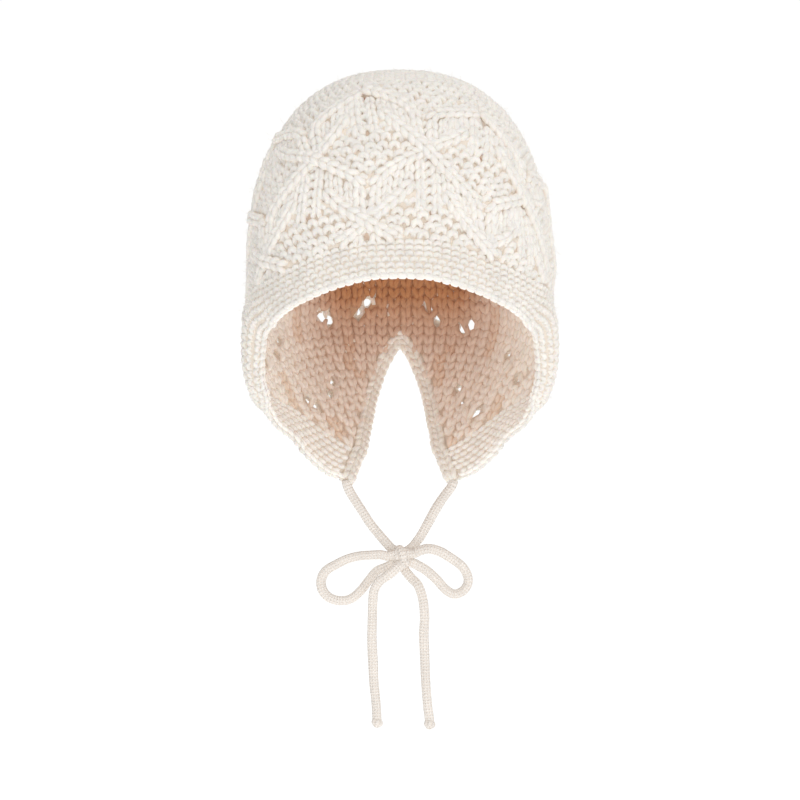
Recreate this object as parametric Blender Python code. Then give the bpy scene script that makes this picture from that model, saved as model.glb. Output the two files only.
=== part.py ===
"""A knitted baby bonnet with lattice cables, ear flaps, a ridged face band and two chin ties in a bow.

Metres, +Z up, the face opening towards -Y. The origin is the inside of the crown's top, where a head
holds the bonnet. Angles round the head are in degrees: 0 is the front, 90 is +X, 180 is the back.
"""

import math

import bmesh
import bpy
import numpy as np
from mathutils import Vector

# Driving sizes of the crown, over the outside of the knitting.
HALF_WIDTH = 0.0672
FRONT_DEPTH = 0.0735
BACK_DEPTH = 0.073
DOME_HEIGHT = 0.089
WALL = 0.004
FLAP_REACH = 0.096
FRONT_ROUNDNESS = 2.8
BACK_ROUNDNESS = 2.2
SIDE_DOME_ROUNDNESS = 2.35
FRONT_DOME_ROUNDNESS = 3.1

# Where the crown's lower edge lies, as drops below the origin.
FRONT_DROP = 0.0680
NAPE_DROP = 0.114
FLAP_DROP = 0.1665
FLAP_CORNER_ANGLE = 143.0
PATTERN_SIDE_DROP = 0.118
PATTERN_NAPE_DROP = 0.089

# The lattice: cable ribs that cross, with a furrow under each crossing and eyelets beside it.
HALF_REPEATS = 18
CROSSING_ANGLE = 10.0
COLUMNS_IN_HALF = 4
ROWS_IN_HALF = 4
HALF_HEIGHT = 0.033
FIRST_CROSSING = 0.010
LATTICE_HALVES_UP = 3
LATTICE_SHIFT = 0.002
LATTICE_TILT = 0.0065
TOP_SPREAD = 0.6
TOP_ROWS = 5
RIB_SLANT = 0.5
RIB_RISE = 0.0017
CROSSING_RISE = 0.0024
FURROW_SINK = 0.0012
DIAMOND_SWELL = 0.0006
EYELET_WIDTH = 0.0034
EYELET_HEIGHT = 0.0040

# The face band, the neck edging and the clearance between knitted pieces.
BAND_WIDTH = 0.0168
BAND_THICKNESS = 0.0042
BAND_BEND = 0.006
BAND_RIDGES = 5
BAND_EVENING = 5
RIDGE_RISE = 0.0008
EDGING_WIDTH = 0.0056
EDGING_THICKNESS = 0.0046
# How much of the band's thickness is left at its rim, and where on the band's end the edging starts.
BAND_RIM_SHARE = 0.55
EDGING_START_SHARE = 0.3
# The edging's section: shares of its width and of its thickness.
EDGING_SECTION = ((0.0, 0.75), (0.3, 1.0), (0.7, 1.0), (1.0, 0.5))
CLEARANCE = 0.0003

# The ties.
CORD_THICKNESS = 0.0034
BOW_KNOT = (0.0105, 0.0084, 0.0098)
BOW_KNOT_PLACE = (0.0005, -0.0010, -0.2115)
END_KNOT = (0.0052, 0.0048, 0.0062)

# Colours of the cotton yarn.
CREAM = (0.84, 0.80, 0.72, 1.0)
CREAM_BAND = (0.86, 0.82, 0.75, 1.0)
CREAM_CORD = (0.82, 0.77, 0.69, 1.0)

# Sections below the dome. drop is a share of FLAP_REACH, the others of the sizes they are named after.
SECTION_COLUMNS = ("drop", "half_width", "front_depth", "back_depth", "roundness")
SECTIONS = (
    (0.00, 1.000, 1.00, 1.00, 1.00),
    (0.26, 1.020, 1.00, 1.00, 0.98),
    (0.37, 1.025, 0.98, 0.96, 0.86),
    (0.62, 0.955, 0.88, 0.81, 0.58),
    (0.75, 0.840, 0.74, 0.60, 0.53),
    (0.86, 0.710, 0.60, 0.41, 0.50),
    (1.00, 0.520, 0.46, 0.27, 0.50),
)

# The edge from the front to the flap's corner. turn is a share of FLAP_CORNER_ANGLE, fall of the
# difference between FRONT_DROP and FLAP_DROP.
FACE_EDGE_COLUMNS = ("turn", "fall")
FACE_EDGE = (
    (0.000, 0.000),
    (0.070, 0.005),
    (0.126, 0.025),
    (0.196, 0.066),
    (0.273, 0.127),
    (0.364, 0.188),
    (0.455, 0.228),
    (0.524, 0.284),
    (0.566, 0.386),
    (0.594, 0.497),
    (0.622, 0.599),
    (0.664, 0.680),
    (0.734, 0.751),
    (0.811, 0.812),
    (0.888, 0.909),
    (0.944, 0.964),
    (1.000, 1.000),
)

# The edge from the flap's corner to the nape. rise is a share of FLAP_DROP less NAPE_DROP.
NAPE_EDGE_COLUMNS = ("turn", "rise")
NAPE_EDGE = (
    (0.00, 0.000),
    (0.19, 0.124),
    (0.34, 0.257),
    (0.50, 0.448),
    (0.66, 0.634),
    (0.84, 0.857),
    (1.00, 1.000),
)

# The row of stitches that the lattice is counted from. turn is a share of half a turn.
PATTERN_COLUMNS = ("turn", "to_side", "to_nape")
PATTERN_LINE = (
    (0.00, 0.00, 0.00),
    (0.15, 0.15, 0.00),
    (0.28, 0.42, 0.00),
    (0.39, 0.72, 0.00),
    (0.52, 1.00, 0.00),
    (0.62, 1.00, 0.04),
    (0.78, 1.00, 0.45),
    (0.90, 1.00, 0.90),
    (1.00, 1.00, 1.00),
)

# How the face band goes on from the crown. turn is a share of FLAP_CORNER_ANGLE, flare is in degrees
# outwards from the crown's wall, curl is in degrees back inwards by the free edge, and width is a share
# of BAND_WIDTH.
BAND_COLUMNS = ("turn", "flare", "curl", "width")
BAND_RUN = (
    (0.00, 26.0, 0.0, 1.00),
    (0.25, 24.0, 0.0, 1.04),
    (0.34, 30.0, 30.0, 1.12),
    (0.40, 38.0, 70.0, 1.26),
    (0.48, 42.0, 94.0, 1.38),
    (0.56, 52.0, 124.0, 1.42),
    (0.64, 50.0, 116.0, 1.26),
    (0.72, -2.0, 36.0, 1.14),
    (0.80, -8.0, 0.0, 1.26),
    (0.94, -4.0, 0.0, 1.26),
    (1.00, 0.0, 0.0, 1.00),
)

# Routes of the ties, as chosen points in metres, x, y and z.
TIE_LEFT_ROUTE = (
    (-0.0240, 0.0037, -0.1781),
    (-0.0235, 0.0031, -0.1803),
    (-0.0222, 0.0030, -0.1832),
    (-0.0196, 0.0028, -0.1874),
    (-0.0163, 0.0026, -0.1925),
    (-0.0134, 0.0024, -0.1970),
    (-0.0092, 0.0020, -0.2022),
    (-0.0057, 0.0017, -0.2062),
    (-0.0033, 0.0017, -0.2086),
)
TIE_RIGHT_ROUTE = (
    (0.0240, 0.0037, -0.1781),
    (0.0232, 0.0031, -0.1803),
    (0.0214, 0.0030, -0.1828),
    (0.0186, 0.0028, -0.1866),
    (0.0155, 0.0026, -0.1915),
    (0.0128, 0.0024, -0.1965),
    (0.0096, 0.0020, -0.2022),
    (0.0067, 0.0017, -0.2062),
    (0.0043, 0.0017, -0.2086),
)
LOOP_LEFT_ROUTE = (
    (-0.0052, -0.0018, -0.2113),
    (-0.0085, -0.0021, -0.2107),
    (-0.0121, -0.0020, -0.2108),
    (-0.0175, -0.0016, -0.2112),
    (-0.0229, -0.0010, -0.2125),
    (-0.0283, -0.0004, -0.2151),
    (-0.0332, 0.0004, -0.2183),
    (-0.0352, 0.0008, -0.2227),
    (-0.0345, 0.0008, -0.2270),
    (-0.0316, 0.0006, -0.2302),
    (-0.0267, 0.0002, -0.2316),
    (-0.0218, 0.0000, -0.2306),
    (-0.0175, 0.0002, -0.2270),
    (-0.0142, 0.0006, -0.2228),
    (-0.0104, 0.0008, -0.2184),
    (-0.0064, 0.0002, -0.2166),
    (-0.0037, -0.0004, -0.2152),
)
LOOP_RIGHT_ROUTE = (
    (0.0059, -0.0021, -0.2101),
    (0.0090, -0.0024, -0.2088),
    (0.0126, -0.0022, -0.2080),
    (0.0175, -0.0014, -0.2092),
    (0.0229, -0.0008, -0.2124),
    (0.0278, 0.0000, -0.2162),
    (0.0302, 0.0006, -0.2205),
    (0.0302, 0.0008, -0.2243),
    (0.0278, 0.0008, -0.2275),
    (0.0240, 0.0006, -0.2286),
    (0.0202, 0.0004, -0.2264),
    (0.0164, 0.0002, -0.2221),
    (0.0121, 0.0000, -0.2182),
    (0.0083, -0.0005, -0.2158),
    (0.0054, -0.0010, -0.2144),
)
TAIL_LEFT_ROUTE = (
    (-0.0010, -0.0046, -0.2158),
    (-0.0030, -0.0052, -0.2178),
    (-0.0058, -0.0053, -0.2199),
    (-0.0092, -0.0050, -0.2224),
    (-0.0115, -0.0042, -0.2265),
    (-0.0121, -0.0034, -0.2317),
    (-0.0123, -0.0028, -0.2388),
    (-0.0125, -0.0024, -0.2486),
    (-0.0120, -0.0022, -0.2602),
    (-0.0116, -0.0021, -0.2686),
    (-0.0108, -0.0020, -0.2760),
    (-0.0104, -0.0020, -0.2824),
)
TAIL_RIGHT_ROUTE = (
    (0.0015, 0.0018, -0.2166),
    (0.0028, 0.0016, -0.2188),
    (0.0052, 0.0008, -0.2216),
    (0.0080, -0.0010, -0.2244),
    (0.0098, -0.0018, -0.2290),
    (0.0107, -0.0022, -0.2340),
    (0.0110, -0.0022, -0.2400),
    (0.0106, -0.0021, -0.2470),
    (0.0110, -0.0020, -0.2550),
    (0.0113, -0.0020, -0.2640),
    (0.0118, -0.0019, -0.2720),
    (0.0124, -0.0018, -0.2790),
    (0.0130, -0.0018, -0.2832),
)
END_KNOT_LEFT_PLACE = (-0.0102, -0.0020, -0.2860)
END_KNOT_RIGHT_PLACE = (0.0133, -0.0018, -0.2868)
ROUTE_STEP = 0.0072


def column(table, names, name):
    """One named column of a table."""
    return np.array([row[names.index(name)] for row in table])


def smooth(xs, ys, x):
    """A smooth curve through the points, with no overshoot between them."""
    steps = np.diff(xs)
    slopes = np.diff(ys) / steps
    tangents = np.zeros(len(xs))
    for i in range(1, len(xs) - 1):
        if slopes[i - 1] * slopes[i] > 0:
            before = 2 * steps[i] + steps[i - 1]
            after = steps[i] + 2 * steps[i - 1]
            tangents[i] = (before + after) / (before / slopes[i - 1] + after / slopes[i])
    tangents[-1] = slopes[-1]
    x = np.clip(x, xs[0], xs[-1])
    i = np.clip(np.searchsorted(xs, x, side="right") - 1, 0, len(steps) - 1)
    t = (x - xs[i]) / steps[i]
    start = ys[i] * (1 + 2 * t) * (1 - t) ** 2 + tangents[i] * steps[i] * t * (1 - t) ** 2
    end = ys[i + 1] * t**2 * (3 - 2 * t) + tangents[i + 1] * steps[i] * t**2 * (t - 1)
    return start + end


def from_table(table, names, along, value, x):
    return smooth(column(table, names, along), column(table, names, value), x)


SECTION_DROPS = column(SECTIONS, SECTION_COLUMNS, "drop")
SECTION_SHARES = {name: column(SECTIONS, SECTION_COLUMNS, name) for name in SECTION_COLUMNS[1:]}


def form_point(turn, down):
    """A point on the crown's outer form. down runs from 0 at the top to 1 at the dome's foot and 2 below."""
    across = math.sin(turn)
    ahead = math.cos(turn)
    if down <= 1.0:
        shares = (1.0, 1.0, 1.0, 1.0)
        dome = SIDE_DOME_ROUNDNESS * across**2 + FRONT_DOME_ROUNDNESS * ahead**2
        spread = math.sin(down * math.pi / 2) ** (2 / dome)
        z = WALL - DOME_HEIGHT * (1 - max(math.cos(down * math.pi / 2), 0.0) ** (2 / dome))
    else:
        shares = [float(smooth(SECTION_DROPS, SECTION_SHARES[name], down - 1.0)) for name in SECTION_SHARES]
        spread = 1.0
        z = WALL - DOME_HEIGHT - FLAP_REACH * (down - 1.0)
    depth = FRONT_DEPTH * shares[1] if ahead > 0 else BACK_DEPTH * shares[2]
    roundness = shares[3] * (FRONT_ROUNDNESS if ahead > 0 else BACK_ROUNDNESS)
    if down <= 1.0:
        roundness = 2 + (roundness - 2) * down
    x = HALF_WIDTH * shares[0] * spread * math.copysign(abs(across) ** (2 / roundness), across)
    y = -depth * spread * math.copysign(abs(ahead) ** (2 / roundness), ahead)
    return np.array((x, y, z))


class Ring:
    """One level of the form, as half an outline from the front to the back with its length in shares."""

    def __init__(self, down):
        turns = np.linspace(0, math.pi, 121)
        self.points = np.array([form_point(turn, max(down, 1e-4)) for turn in turns])
        steps = np.linalg.norm(np.diff(self.points, axis=0), axis=1)
        run = np.concatenate([[0], np.cumsum(steps)])
        self.shares = run / run[-1]

    def at(self, share):
        return np.array([np.interp(share, self.shares, self.points[:, k]) for k in range(3)])


DOWNS = np.concatenate([np.linspace(0, 1, 45), np.linspace(1, 2, 40)[1:]])
RINGS = [Ring(down) for down in DOWNS]


class Meridian:
    """The line down the crown's outside at one angle, measured by its length from the top."""

    def __init__(self, angle):
        self.points = np.array([ring.at(abs(angle) / 180.0) for ring in RINGS])
        self.points[:, 0] *= math.copysign(1.0, angle)
        self.points[0] = (0.0, 0.0, WALL)
        lengths = np.linalg.norm(np.diff(self.points, axis=0), axis=1)
        self.run = np.concatenate([[0], np.cumsum(lengths)])

    def at(self, run):
        return np.array([np.interp(run, self.run, self.points[:, k]) for k in range(3)])

    def run_at_drop(self, drop):
        return float(np.interp(drop, -self.points[:, 2], self.run))


MERIDIANS = {}


def meridian(angle):
    key = round((angle + 180.0) % 360.0, 4)
    if key not in MERIDIANS:
        MERIDIANS[key] = Meridian((angle + 180.0) % 360.0 - 180.0)
    return MERIDIANS[key]


def edge_drop(angle):
    """How far below the origin the crown's lower edge is."""
    turn = abs(angle)
    if turn <= FLAP_CORNER_ANGLE:
        fall = from_table(FACE_EDGE, FACE_EDGE_COLUMNS, "turn", "fall", turn / FLAP_CORNER_ANGLE)
        return FRONT_DROP + (FLAP_DROP - FRONT_DROP) * float(fall)
    share = (turn - FLAP_CORNER_ANGLE) / (180.0 - FLAP_CORNER_ANGLE)
    rise = from_table(NAPE_EDGE, NAPE_EDGE_COLUMNS, "turn", "rise", share)
    return FLAP_DROP - (FLAP_DROP - NAPE_DROP) * float(rise)


def pattern_run(angle):
    """The length down the meridian of the row that the lattice is counted from."""
    turn = abs(angle) / 180.0
    to_side = float(from_table(PATTERN_LINE, PATTERN_COLUMNS, "turn", "to_side", turn))
    to_nape = float(from_table(PATTERN_LINE, PATTERN_COLUMNS, "turn", "to_nape", turn))
    drop = FRONT_DROP + (PATTERN_SIDE_DROP - FRONT_DROP) * to_side
    drop += (PATTERN_NAPE_DROP - PATTERN_SIDE_DROP) * to_nape
    return meridian(angle).run_at_drop(drop)


COLUMNS = HALF_REPEATS * COLUMNS_IN_HALF
ROW_HEIGHT = HALF_HEIGHT / ROWS_IN_HALF
LATTICE_TOP = FIRST_CROSSING + (LATTICE_HALVES_UP - 1) * HALF_HEIGHT


def column_angle(k):
    """The angle of a column of the mesh. The middle column passes through a crossing near the front."""
    middle = COLUMNS // 2
    if k >= middle:
        angle = CROSSING_ANGLE + (180.0 - CROSSING_ANGLE) * (k - middle) / middle
    else:
        angle = CROSSING_ANGLE - (180.0 + CROSSING_ANGLE) * (middle - k) / middle
    corner = FLAP_CORNER_ANGLE
    pitch = 180.0 / middle
    if abs(abs(angle) - corner) < pitch / 2:
        return math.copysign(corner, angle)
    return angle


def lattice_angle(k, row):
    """The angle of a vertex. Above the second row of crossings the columns spread apart at the front."""
    angle = column_angle(k)
    climb = min(max((row - ROWS_IN_HALF) / ROWS_IN_HALF, 0.0), 1.0)
    side = 180.0 - math.copysign(CROSSING_ANGLE, angle - CROSSING_ANGLE)
    share = abs(angle - CROSSING_ANGLE) / side
    return CROSSING_ANGLE + (angle - CROSSING_ANGLE) * (1 + TOP_SPREAD * climb * (1 - share) ** 2)


def run_of_row(angle, row):
    """The length down the meridian of a row. Row 0 is the row that the lattice is counted from."""
    height = FIRST_CROSSING + row * ROW_HEIGHT
    line = pattern_run(angle) + LATTICE_SHIFT + LATTICE_TILT * math.sin(math.radians(angle))
    if height <= LATTICE_TOP:
        return line - height
    top_row = (LATTICE_TOP - FIRST_CROSSING) / ROW_HEIGHT
    left = line - LATTICE_TOP
    return left * (1 - (row - top_row) / TOP_ROWS)


def lattice_place(k, row):
    """A vertex's place in the lattice: columns from a crossing's line, and rows down from the crossing."""
    across = (k - COLUMNS // 2) % (2 * COLUMNS_IN_HALF)
    beside = min(across, 2 * COLUMNS_IN_HALF - across)
    return beside, (ROWS_IN_HALF - row) % (2 * ROWS_IN_HALF)


def rib_rows(beside):
    """The rows down from a crossing at which the ribs pass a column."""
    slant = beside * RIB_SLANT
    foot = 2 * COLUMNS_IN_HALF * RIB_SLANT
    return (slant, foot / 2 + slant, foot + foot / 2 - slant, 2 * foot - slant)


def lattice_relief(k, row):
    """How far the knitting stands out at a column and a row of the mesh."""
    beside, down = lattice_place(k, row)
    on_rib = any(abs(down - rib) < 0.1 or abs(down - rib - 8) < 0.1 for rib in rib_rows(beside))
    crossing = (beside, down) in ((0, 0), (COLUMNS_IN_HALF, ROWS_IN_HALF))
    if crossing:
        return CROSSING_RISE
    if on_rib:
        return RIB_RISE
    furrow = (beside, down) in ((0, 1), (COLUMNS_IN_HALF, ROWS_IN_HALF + 1))
    return -FURROW_SINK if furrow else DIAMOND_SWELL


def new_object(name, mesh, colour, roughness=0.95):
    obj = bpy.data.objects.new(name, mesh)
    bpy.context.scene.collection.objects.link(obj)
    material = bpy.data.materials.new(name)
    material.use_nodes = True
    shader = material.node_tree.nodes["Principled BSDF"]
    shader.inputs["Base Color"].default_value = colour
    shader.inputs["Roughness"].default_value = roughness
    obj.data.materials.append(material)
    return obj


def mesh_of(name, points, faces):
    mesh = bpy.data.meshes.new(name)
    mesh.from_pydata([tuple(p) for p in points], [], faces)
    work = bmesh.new()
    work.from_mesh(mesh)
    bmesh.ops.recalc_face_normals(work, faces=work.faces)
    work.to_mesh(mesh)
    work.free()
    mesh.shade_smooth()
    return mesh


def outward(angle, run, reach=0.006, turn=5.0):
    """The form's outward direction."""
    line = meridian(angle)
    down = line.at(run + reach) - line.at(max(run - reach, 0.0))
    beside = meridian(angle + turn).at(run) - meridian(angle - turn).at(run)
    if run < 0.012 or np.linalg.norm(beside) < 1e-6:
        return np.array((0.0, 0.0, 1.0))
    normal = np.cross(beside, down)
    normal /= np.linalg.norm(normal)
    centre = np.array((0.0, 0.0, min(-0.05, line.at(run)[2] + 0.02)))
    return normal if normal @ (line.at(run) - centre) > 0 else -normal


def edge_run(angle):
    return meridian(angle).run_at_drop(edge_drop(angle))


def rows_of_column(k):
    """The rows of a column from the lattice's top to the edge, each with its length down the meridian."""
    shift = 0.0 if (k - COLUMNS // 2) % 2 == 0 else RIB_SLANT
    row = (LATTICE_TOP - FIRST_CROSSING) / ROW_HEIGHT - shift
    last = edge_run(column_angle(k))
    rows = []
    while run_of_row(lattice_angle(k, row), row) < last - 0.35 * ROW_HEIGHT:
        rows.append((row, run_of_row(lattice_angle(k, row), row)))
        row -= 1.0
    edge_row = row + 1.0 - (last - rows[-1][1]) / ROW_HEIGHT
    rows.append((edge_row, last))
    return rows


def crown_lattice():
    """The crown's vertices by column and row, and its triangles as the keys of their corners."""
    places = {}
    triangles = []
    edge = []
    columns = []
    for k in range(COLUMNS):
        rows = rows_of_column(k)
        columns.append([(k, row) for row, run in rows])
        edge.append((k, rows[-1][0]))
        for row, run in rows:
            relief = 0.0 if row == rows[-1][0] else lattice_relief(k, row)
            places[(k, row)] = (lattice_angle(k, row), run, relief)
    for k in range(COLUMNS):
        left = columns[k]
        right = columns[(k + 1) % COLUMNS]
        i = 0
        j = 0
        while i < len(left) - 1 or j < len(right) - 1:
            step_left = j == len(right) - 1 or (i < len(left) - 1 and left[i + 1][1] > right[j + 1][1])
            if step_left:
                triangles.append((left[i], right[j], left[i + 1]))
                i += 1
            else:
                triangles.append((left[i], right[j], right[j + 1]))
                j += 1
    top_row = (LATTICE_TOP - FIRST_CROSSING) / ROW_HEIGHT
    ring_steps = (2, 2, 2, 4, 4)[:TOP_ROWS]
    first = COLUMNS // 2 % 4
    previous = None
    for n, step in enumerate(ring_steps):
        ring = [((first + c) % COLUMNS, top_row + n) for c in range(0, COLUMNS, step)]
        for key in ring:
            relief = lattice_relief(*key) if n < 3 else DIAMOND_SWELL
            angle = lattice_angle(*key)
            places[key] = (angle, run_of_row(angle, key[1]), relief)
        count = len(ring)
        if previous is None:
            for c in range(count):
                between = ((ring[c][0] + 1) % COLUMNS, top_row - RIB_SLANT)
                triangles.append((ring[c], between, ring[(c + 1) % count]))
        else:
            share = len(previous) // count
            for c in range(count):
                low = [previous[(c * share + d) % len(previous)] for d in range(share + 1)]
                triangles.append((ring[c], low[-1], ring[(c + 1) % count]))
                triangles += [(ring[c], low[d], low[d + 1]) for d in range(share)]
        previous = ring
    places["top"] = (0.0, 0.0, DIAMOND_SWELL)
    count = len(previous)
    triangles += [("top", previous[c], previous[(c + 1) % count]) for c in range(count)]
    return places, triangles, edge


def eyelet_cells(places, edge):
    """Pairs of triangles over the ribs that come down to each crossing, two on each side of it."""
    cells = []
    edge_rows = dict(edge)
    for k in range(COLUMNS):
        beside, _ = lattice_place(k, 0)
        if beside not in (0, COLUMNS_IN_HALF):
            continue
        crossing_row = ROWS_IN_HALF if beside == 0 else 0
        for turn in (-1, 0, 1):
            row = crossing_row + turn * 2 * ROWS_IN_HALF
            for side in (-1, 1):
                for step in (1, 2):
                    near = (k + side * step) % COLUMNS
                    far = (k + side * (step + 1)) % COLUMNS
                    foot = row + step * RIB_SLANT
                    corners = [(near, foot), (far, foot + 0.5), (far, foot + 1.5), (near, foot + 1.0)]
                    inside = all(key in places for key in corners)
                    if inside and all(foot - 1.0 > edge_rows[c] for c in (near, far)):
                        cells.append(corners)
    return cells


def build_crown():
    places, triangles, edge = crown_lattice()
    skins = {}
    for key, (angle, run, relief) in places.items():
        point = meridian(angle).at(run)
        out = outward(angle, run)
        skins[key] = (point + out * relief, point - out * WALL)
    points = []
    index = {}
    for key, pair in skins.items():
        index[key] = len(points)
        points += list(pair)
    cells = eyelet_cells(places, edge)
    open_corners = [set(cell) for cell in cells]
    faces = []
    for triangle in triangles:
        if any(set(triangle) <= cell for cell in open_corners):
            continue
        faces.append(tuple(index[key] for key in triangle))
        faces.append(tuple(index[key] + 1 for key in reversed(triangle)))
    for cell in cells:
        base = len(points)
        for skin in (0, 1):
            corners = np.array([points[index[key] + skin] for key in cell])
            centre = corners.mean(axis=0)
            widest = max(np.linalg.norm(corners - centre, axis=1))
            shrink = (EYELET_WIDTH + EYELET_HEIGHT) / 4 / widest
            tilt = np.linalg.norm(corners - centre, axis=1) / widest
            shares = shrink / np.clip(tilt, 0.5, 1.0)
            points += list(centre + (corners - centre) * shares[:, None])
        for c in range(4):
            d = (c + 1) % 4
            outer = (index[cell[c]], index[cell[d]])
            faces.append((outer[0], outer[1], base + d, base + c))
            faces.append((outer[1] + 1, outer[0] + 1, base + 4 + c, base + 4 + d))
            faces.append((base + c, base + d, base + 4 + d, base + 4 + c))
    for c in range(COLUMNS):
        a = index[edge[c]]
        b = index[edge[(c + 1) % COLUMNS]]
        faces.append((a, b, b + 1, a + 1))
    return new_object("crown", mesh_of("crown", points, faces), CREAM)


class EdgeStation:
    """A place on the crown's edge: the middle of the wall, its outward side and the way off the edge."""

    def __init__(self, angle, along):
        run = edge_run(angle)
        self.out = outward(angle, run)
        self.middle = meridian(angle).at(run) - self.out * WALL / 2
        off = np.cross(self.out, along)
        off /= np.linalg.norm(off)
        down = meridian(angle).at(run + 0.002) - meridian(angle).at(run - 0.002)
        self.off = off if off @ down > 0 else -off


def edge_point(angle):
    """The point of the form on the crown's edge."""
    return meridian(angle).at(edge_run(angle))


def face_stations():
    """Stations from the left flap's corner over the forehead to the right one's."""
    angles = sorted(column_angle(k) for k in range(COLUMNS) if abs(column_angle(k)) <= FLAP_CORNER_ANGLE)
    stations = []
    for i, angle in enumerate(angles):
        evening = max(min(BAND_EVENING, i, len(angles) - 1 - i), 1)
        before = angles[max(i - evening, 0)]
        after = angles[min(i + evening, len(angles) - 1)]
        station = EdgeStation(angle, edge_point(after) - edge_point(before))
        share = abs(angle) / FLAP_CORNER_ANGLE
        station.flare = math.radians(float(from_table(BAND_RUN, BAND_COLUMNS, "turn", "flare", share)))
        station.curl = math.radians(float(from_table(BAND_RUN, BAND_COLUMNS, "turn", "curl", share)))
        station.width = BAND_WIDTH * float(from_table(BAND_RUN, BAND_COLUMNS, "turn", "width", share))
        stations.append(station)
    return stations


def band_middle(station, run):
    """The middle of the band's thickness at a distance from the crown's edge, and its outward side."""
    steps = np.linspace(0, run, 13)
    middles = (steps[1:] + steps[:-1]) / 2
    turns = station.flare * np.minimum(middles / BAND_BEND, 1) - station.curl * middles / station.width
    ahead = np.cos(turns)[:, None] * station.off + np.sin(turns)[:, None] * station.out
    turned = station.flare * min(run / BAND_BEND, 1) - station.curl * run / station.width
    out = math.cos(turned) * station.out - math.sin(turned) * station.off
    return station.middle + ahead.mean(axis=0) * run, out


def build_face_band(stations):
    """The garter stitch band along the face edge, with its ridges on both faces."""
    rows = 2 * BAND_RIDGES
    points = []
    for station in stations:
        outer = []
        inner = []
        for row in range(rows + 1):
            run = CLEARANCE + (station.width - CLEARANCE) * row / rows
            place, out = band_middle(station, run)
            half = BAND_THICKNESS / 2 + RIDGE_RISE * (row % 2)
            if row == rows:
                half *= BAND_RIM_SHARE
            outer.append(place + out * half)
            inner.append(place - out * half)
        points += outer + inner[::-1]
    mesh = mesh_of("face_band", points, strip(len(stations), 2 * rows + 2))
    return new_object("face_band", mesh, CREAM_BAND)


def strip(stations, around):
    """Faces of a closed strip with a section of so many points at each station, and its two ends."""
    faces = []
    for s in range(stations - 1):
        for c in range(around):
            d = (c + 1) % around
            a = s * around
            faces.append((a + c, a + d, a + around + d, a + around + c))
    half = around // 2
    for start in (0, (stations - 1) * around):
        last = start + around - 1
        faces += [(start + c, start + c + 1, last - 1 - c, last - c) for c in range(half - 1)]
    return faces


def edging_path(stations):
    """Middle, outward side and way off for each section of the edging, from tip to tip round the nape."""
    path = []
    for end, order in ((stations[-1], 1), (stations[0], -1)):
        beside = stations[-2] if end is stations[-1] else stations[1]
        along = end.middle - beside.middle
        piece = []
        for run in np.linspace(end.width, EDGING_START_SHARE * end.width, 4):
            place, out = band_middle(end, run)
            ahead = band_middle(end, run + 0.001)[0] - band_middle(end, run - 0.001)[0]
            off = np.cross(ahead, out)
            off /= np.linalg.norm(off)
            off = off if off @ along > 0 else -off
            piece.append((place, out, off))
        path.append(piece[::order])
    angles = [column_angle(k) for k in range(COLUMNS)]
    angles = sorted(angle % 360.0 for angle in angles if abs(angle) >= FLAP_CORNER_ANGLE)
    around = []
    for i, angle in enumerate(angles):
        before = edge_point(angles[max(i - 1, 0)])
        after = edge_point(angles[min(i + 1, len(angles) - 1)])
        station = EdgeStation((angle + 180.0) % 360.0 - 180.0, after - before)
        around.append([station.middle, station.out, station.off])
    around[0][2] = (around[0][2] + path[0][-1][2]) / 2
    around[-1][2] = (around[-1][2] + path[1][0][2]) / 2
    return path[0] + around + path[1]


def build_neck_edging(stations):
    """The narrow edging round the nape's notch, from one flap's tip to the other's."""
    path = edging_path(stations)
    points = []
    for place, out, off in path:
        off = off / np.linalg.norm(off)
        side = [(CLEARANCE + EDGING_WIDTH * a, EDGING_THICKNESS / 2 * thick) for a, thick in EDGING_SECTION]
        points += [place + off * run + out * half for run, half in side]
        points += [place + off * run - out * half for run, half in side[::-1]]
    mesh = mesh_of("neck_edging", points, strip(len(path), 2 * len(EDGING_SECTION)))
    return new_object("neck_edging", mesh, CREAM_BAND)


def route_points(route):
    """Evenly spaced points on a smooth curve through a route's chosen points."""
    chosen = [Vector(p) for p in route]
    ends = [2 * chosen[0] - chosen[1], *chosen, 2 * chosen[-1] - chosen[-2]]
    fine = []
    for i in range(len(chosen) - 1):
        a, b, c, d = ends[i : i + 4]
        for t in np.linspace(0, 1, 12, endpoint=False):
            fine.append(
                0.5
                * (2 * b + (c - a) * t + (2 * a - 5 * b + 4 * c - d) * t**2 + (3 * b - a - 3 * c + d) * t**3)
            )
    fine = np.array([*fine, chosen[-1]])
    run = np.concatenate([[0], np.cumsum(np.linalg.norm(np.diff(fine, axis=0), axis=1))])
    count = max(4, round(run[-1] / ROUTE_STEP) + 1)
    even = np.linspace(0, run[-1], count)
    return np.stack([np.interp(even, run, fine[:, k]) for k in range(3)], axis=1)


def build_cord(name, route):
    """A round cord along a route."""
    points = route_points(route)
    curve = bpy.data.curves.new(name, "CURVE")
    curve.dimensions = "3D"
    curve.bevel_depth = CORD_THICKNESS / 2
    curve.bevel_resolution = 2
    curve.use_fill_caps = True
    spline = curve.splines.new("POLY")
    spline.points.add(len(points) - 1)
    for point, place in zip(spline.points, points):
        point.co = (*place, 1.0)
    spline.use_smooth = True
    return new_object(name, curve, CREAM_CORD)


def build_knot(name, size, place):
    """A knot as a faceted egg of the given size."""
    mesh = bpy.data.meshes.new(name)
    work = bmesh.new()
    bmesh.ops.create_icosphere(work, subdivisions=2, radius=0.5)
    bmesh.ops.scale(work, vec=size, verts=work.verts)
    work.to_mesh(mesh)
    work.free()
    mesh.shade_smooth()
    knot = new_object(name, mesh, CREAM_CORD)
    knot.location = place
    return knot


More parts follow.
